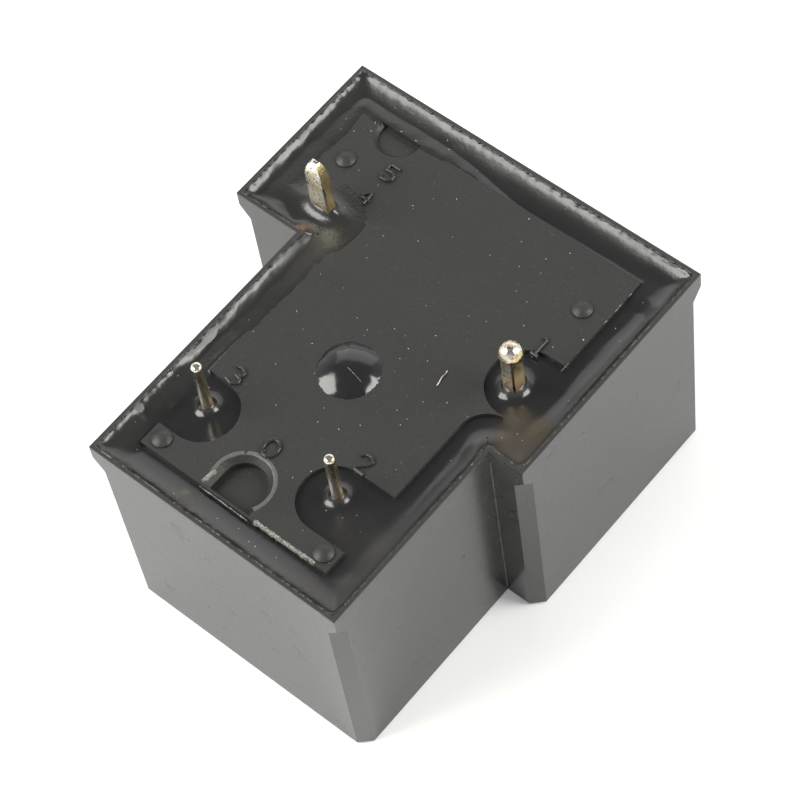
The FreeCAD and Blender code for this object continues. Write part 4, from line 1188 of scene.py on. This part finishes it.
# %% Pale flash and painted highlights
# This pale finish is torn flash on some beads and a painted highlight on others.
pale_flash_and_highlight, flash_tree, flash_shader, flash_where = start_material("pale_flash_and_highlight")
flash_grain = place_group(flash_tree, moulded_grain, flash_where, Scale=9000.0).outputs["Height"]
flash_and_highlight_pale = remap(flash_tree, flash_grain, 0.15, 0.55)
flash_and_highlight_colour = mix_colours(flash_tree, flash_and_highlight_pale, (0.07, 0.07, 0.06), (0.34, 0.335, 0.30))
flash_tree.links.new(flash_and_highlight_colour, flash_shader.inputs["Base Color"])
flash_shader.inputs["Roughness"].default_value = 0.6
bump(flash_tree, flash_shader, flash_grain, 0.05 * MM, 1.0)
print("flash finish:", pale_flash_and_highlight.name)

# %% [markdown]
# Some beads are flash, and some are pale beads that paint a highlight: on the plateau's right edge, at the
# left sides of the two pockets, and as a fine fillet that fills the inner corner of the right notch. The bead
# on the plateau's near edge is flash with a painted highlight. The skin along the rim is resin, and the lip
# round the large pocket is a painted highlight of its rounded edge. Each row gives the path, and whether it
# is closed, then six values: the step along the path, the least radius, how much thicker it gets, how far it
# wanders, all in mm, the fineness of its noise, and its seed. Its finish and its material slot come last.

# %% Lay the beads
POCKET_X, POCKET_Y, POCKET_RADIUS = 0.35, -12.05, 2.05
pocket_lip = []
for degrees in range(200, -31, -10):
    turn = math.radians(degrees)
    pocket_lip.append((POCKET_X + POCKET_RADIUS * math.cos(turn),
                       POCKET_Y + POCKET_RADIUS * math.sin(turn), PLATEAU_Z - 0.2))
BEADS = {
    "rim_skin": (
        [(x, y, RIM_Z - 0.06) for x, y in outline(0.29)], True,
        (0.07, 0.03, 0.11, 0.13, 2300.0, 2.0), resin_finish, "resin"),
    # Flash, with a painted highlight of the plateau's rounded near edge.
    "plateau_flash": (
        [(2.7, -13.62, 17.80), (7.5, -13.58, 17.80)], False,
        (0.07, 0.14, 0.09, 0.09, 3200.0, 5.0), pale_flash_and_highlight, "base_plastic"),
    # Painted highlight: a pale line along the plateau's right edge.
    "right_edge_flash": (
        [(10.98, 13.4, 17.86), (10.98, 5.6, 17.86)], False,
        (0.06, 0.008, 0.045, 0.07, 2100.0, 3.0), pale_flash_and_highlight, "base_plastic"),
    # A fine fillet in the notch corner, pale as a painted highlight.
    "notch_corner_fillet": (
        [(11.22, -1.67, 17.2), (11.22, -1.67, 0.6)], False,
        (0.5, 0.03, 0.0, 0.0, 100.0, 1.0), pale_flash_and_highlight, "case_plastic"),
    # Painted highlight on the sloped left wall of the large pocket.
    "pocket_corner_flash": (
        [(-1.66, -13.5, 17.80), (-1.60, -12.9, 17.80), (-1.50, -12.4, 17.80)], False,
        (0.08, 0.12, 0.12, 0.06, 1500.0, 4.0), pale_flash_and_highlight, "base_plastic"),
    # Painted highlight on the left wall of the half-round pocket.
    "vent_corner_flash": (
        [(-10.15, 12.5, 17.84), (-10.4, 13.3, 17.84)], False,
        (0.06, 0.05, 0.07, 0.05, 1500.0, 6.0), pale_flash_and_highlight, "base_plastic"),
    # Painted highlight: the pale lip round the large pocket.
    "pocket_lip": (
        pocket_lip, False,
        (0.12, 0.235, 0.035, 0.07, 900.0, 8.0), painted_lip_highlight, "base_plastic"),
    "pocket_mouth_flash": (
        [(-1.6, -13.78, 17.80), (2.3, -13.84, 17.80)], False,
        (0.08, 0.02, 0.05, 0.08, 1800.0, 7.0), pale_flash_and_highlight, "base_plastic"),
    "vent_mouth_flash": (
        [(-10.0, 13.68, 17.84), (-6.8, 13.70, 17.84)], False,
        (0.07, 0.02, 0.07, 0.10, 2400.0, 9.0), pale_flash_and_highlight, "base_plastic"),
}
for name, (points, closed, bead_values, material, slot_name) in BEADS.items():
    step, radius, uneven, drift, detail, seed = bead_values
    mesh = grow(name, points, path_edges(len(points), closed), [], bead_tree, bead_ids, {
        "Step": step * MM, "Radius": radius * MM, "Unevenness": uneven * MM, "Wander": drift * MM,
        "Detail Scale": detail, "Seed": seed, "Material": material})
    add_piece(name, mesh, material)

# %% [markdown]
# ## Grit and fibres
#
# The relay has been handled, and fine pale grit lies on the plateau and on the resin. The
# grit is scattered by Geometry Nodes over the faces that look up, with twenty small faces
# for each grain. One short fibre lies to the right of the domed drop, and a finer one on it.

# %% Tree that scatters grit
grit_tree, grit_in, grit_end, grit_ids = new_tree("scattered_grit", {
    "Density": FLOAT, "Size": FLOAT, "Seed": "NodeSocketInt", "Material": "NodeSocketMaterial"})
grit_points = grit_tree.nodes.new("GeometryNodeDistributePointsOnFaces")
grit_grain = grit_tree.nodes.new("GeometryNodeMeshIcoSphere")
grit_grain.inputs["Radius"].default_value = 1.0
grit_grain.inputs["Subdivisions"].default_value = 1
grit_copies = grit_tree.nodes.new("GeometryNodeInstanceOnPoints")
grit_sizes = grit_tree.nodes.new("FunctionNodeRandomValue")
grit_sizes.data_type = "FLOAT_VECTOR"
grit_sizes.inputs["Min"].default_value = (0.35, 0.25, 0.15)
grit_sizes.inputs["Max"].default_value = (1.0, 0.7, 0.4)
grit_turns = grit_tree.nodes.new("FunctionNodeRandomValue")
grit_turns.data_type = "FLOAT_VECTOR"
grit_turns.inputs["Max"].default_value = (0.5, 0.5, 6.28)
grit_scaled = grit_tree.nodes.new("ShaderNodeVectorMath")
grit_scaled.operation = "SCALE"
link = grit_tree.links.new
link(grit_in.outputs["Geometry"], grit_points.inputs["Mesh"])
link(grit_in.outputs["Density"], grit_points.inputs["Density"])
for node in (grit_points, grit_sizes, grit_turns):
    link(grit_in.outputs["Seed"], node.inputs["Seed"])
link(grit_sizes.outputs["Value"], grit_scaled.inputs[0])
link(grit_in.outputs["Size"], grit_scaled.inputs["Scale"])
link(grit_points.outputs["Points"], grit_copies.inputs["Points"])
link(grit_grain.outputs["Mesh"], grit_copies.inputs["Instance"])
link(grit_turns.outputs["Value"], grit_copies.inputs["Rotation"])
link(grit_scaled.outputs["Vector"], grit_copies.inputs["Scale"])
finish_tree(grit_tree, grit_in, grit_end, grit_copies.outputs["Instances"])
print("scattered_grit:", len(grit_tree.nodes), "nodes")

# %% [markdown]
# Grit needs faces to lie on. On the base they are the top of the plateau, and on the
# resin all that look up. Their corners go into a helper mesh, and the tree does the rest.

# %% Scatter the grit over the plateau and the resin
pale_grit, pale_tree, grit_shader, grit_where = start_material("pale_grit")
pale_share = remap(pale_tree, noise_value(pale_tree, grit_where, 1500.0), 0.35, 0.65)
pale_colour = mix_colours(pale_tree, pale_share, (0.26, 0.21, 0.14), (0.62, 0.60, 0.54))
pale_tree.links.new(pale_colour, grit_shader.inputs["Base Color"])
grit_shader.inputs["Roughness"].default_value = 0.6


def upward_faces(mesh, lowest_mm):
    """Corners of the faces that look up, in mm, from a height on."""
    found = []
    for face in mesh.polygons:
        if face.normal.z > 0.9 and face.center.z / MM > lowest_mm:
            found.append([tuple(mesh.vertices[i].co / MM) for i in face.vertices])
    return found


def scatter(name, faces, density, size, seed):
    """Grit over a list of faces, each with its corners in mm."""
    points = [p for face in faces for p in face]
    numbers, start = [], 0
    for face in faces:
        numbers.append(tuple(range(start, start + len(face))))
        start += len(face)
    mesh = grow(name, points, [], numbers, grit_tree, grit_ids, {
        "Density": density, "Size": size * MM, "Seed": seed, "Material": pale_grit})
    add_piece(name, mesh, pale_grit)


scatter("plateau_grit", upward_faces(frame["nodes"]["base"].data, PLATEAU_Z - 0.05), 1.8e5, 0.07, 11)
scatter("resin_grit", upward_faces(sealing_resin.data, RESIN_Z - 0.2), 1.5e5, 0.06, 23)

# %% [markdown]
# A fibre is a thin tube through a few points. The fine one follows the curve of the
# domed drop, so its points come from the same curve.

# %% Two fibres
def tube(name, points_mm, radius_mm, sides=6):
    """A closed thin tube through points, in metres."""
    mesh_builder = bmesh.new()
    rings = []
    for here, ahead in zip(points_mm, points_mm[1:] + [points_mm[-1]]):
        way = Vector(ahead) - Vector(here)
        if way.length == 0:
            way = Vector(here) - Vector(points_mm[-2])
        turn = way.to_track_quat("Z", "Y")
        ring = []
        for k in range(sides):
            angle = 2 * math.pi * k / sides
            offset = turn @ Vector((math.cos(angle), math.sin(angle), 0)) * radius_mm
            ring.append(mesh_builder.verts.new((Vector(here) + offset) * MM))
        rings.append(ring)
    for first, second in zip(rings, rings[1:]):
        for k in range(sides):
            mesh_builder.faces.new((first[k], first[(k + 1) % sides], second[(k + 1) % sides], second[k]))
    mesh_builder.faces.new(list(reversed(rings[0])))
    mesh_builder.faces.new(rings[-1])
    bmesh.ops.recalc_face_normals(mesh_builder, faces=mesh_builder.faces)
    mesh = bpy.data.meshes.new(name)
    mesh_builder.to_mesh(mesh)
    mesh_builder.free()
    mesh.polygons.foreach_set("use_smooth", [True] * len(mesh.polygons))
    return mesh


drop_path = []
for out in (0.12, 0.45, 0.8, 1.1, 1.35):
    share = out / (PLUG_RADIUS + DROP_SPREAD)
    rise = DROP_RISE * (1 - share ** DROP_CURVE) + 0.02
    drop_path.append((PLUG_X + out, PLUG_Y - 0.12 - 0.16 * out, PLATEAU_Z + rise))
add_piece("drop_fibre", tube("drop_fibre", drop_path, 0.020), pale_flash_and_highlight)
FIBRE_PATH = [(5.54, 0.24, 17.93), (5.50, 0.55, 17.97), (5.42, 0.92, 17.99),
              (5.44, 1.20, 17.96), (5.38, 1.46, 17.93)]
add_piece("fibre", tube("fibre", FIBRE_PATH, 0.04), pale_grit)

# %% [markdown]
# ## The table
#
# The relay lies on a plain white table. It takes the shadow, and a little emission that
# only the camera and mirror rays see lifts it to the white of the photograph.

# %% Floor
FLOOR_HALF = 3.0
floor_corners = [(x * FLOOR_HALF, y * FLOOR_HALF, 0) for x, y in ((-1, -1), (1, -1), (1, 1), (-1, 1))]
floor_mesh = bpy.data.meshes.new("floor")
floor_mesh.from_pydata(floor_corners, [], [(0, 1, 2, 3)])
floor = bpy.data.objects.new("floor", floor_mesh)
scene.collection.objects.link(floor)
floor_material, floor_tree, floor_shader, _ = start_material("table_white")
floor_shader.inputs["Base Color"].default_value = (0.90, 0.90, 0.90, 1.0)
floor_shader.inputs["Roughness"].default_value = 0.9
light_path = floor_tree.nodes.new("ShaderNodeLightPath")
mirrored = math_node(floor_tree, "MULTIPLY", light_path.outputs["Is Glossy Ray"], 0.3)
seen = math_node(floor_tree, "MAXIMUM", light_path.outputs["Is Camera Ray"], mirrored)
glow = floor_tree.nodes.new("ShaderNodeEmission")
glow.inputs["Color"].default_value = (1.0, 1.0, 1.0, 1.0)
floor_tree.links.new(math_node(floor_tree, "MULTIPLY", seen, 0.15), glow.inputs["Strength"])
both = floor_tree.nodes.new("ShaderNodeAddShader")
floor_tree.links.new(floor_shader.outputs["BSDF"], both.inputs[0])
floor_tree.links.new(glow.outputs["Emission"], both.inputs[1])
floor_output = next(n for n in floor_tree.nodes if n.type == "OUTPUT_MATERIAL")
floor_tree.links.new(both.outputs["Shader"], floor_output.inputs["Surface"])
floor_mesh.materials.append(floor_material)
print("floor is", 2 * FLOOR_HALF, "m wide")
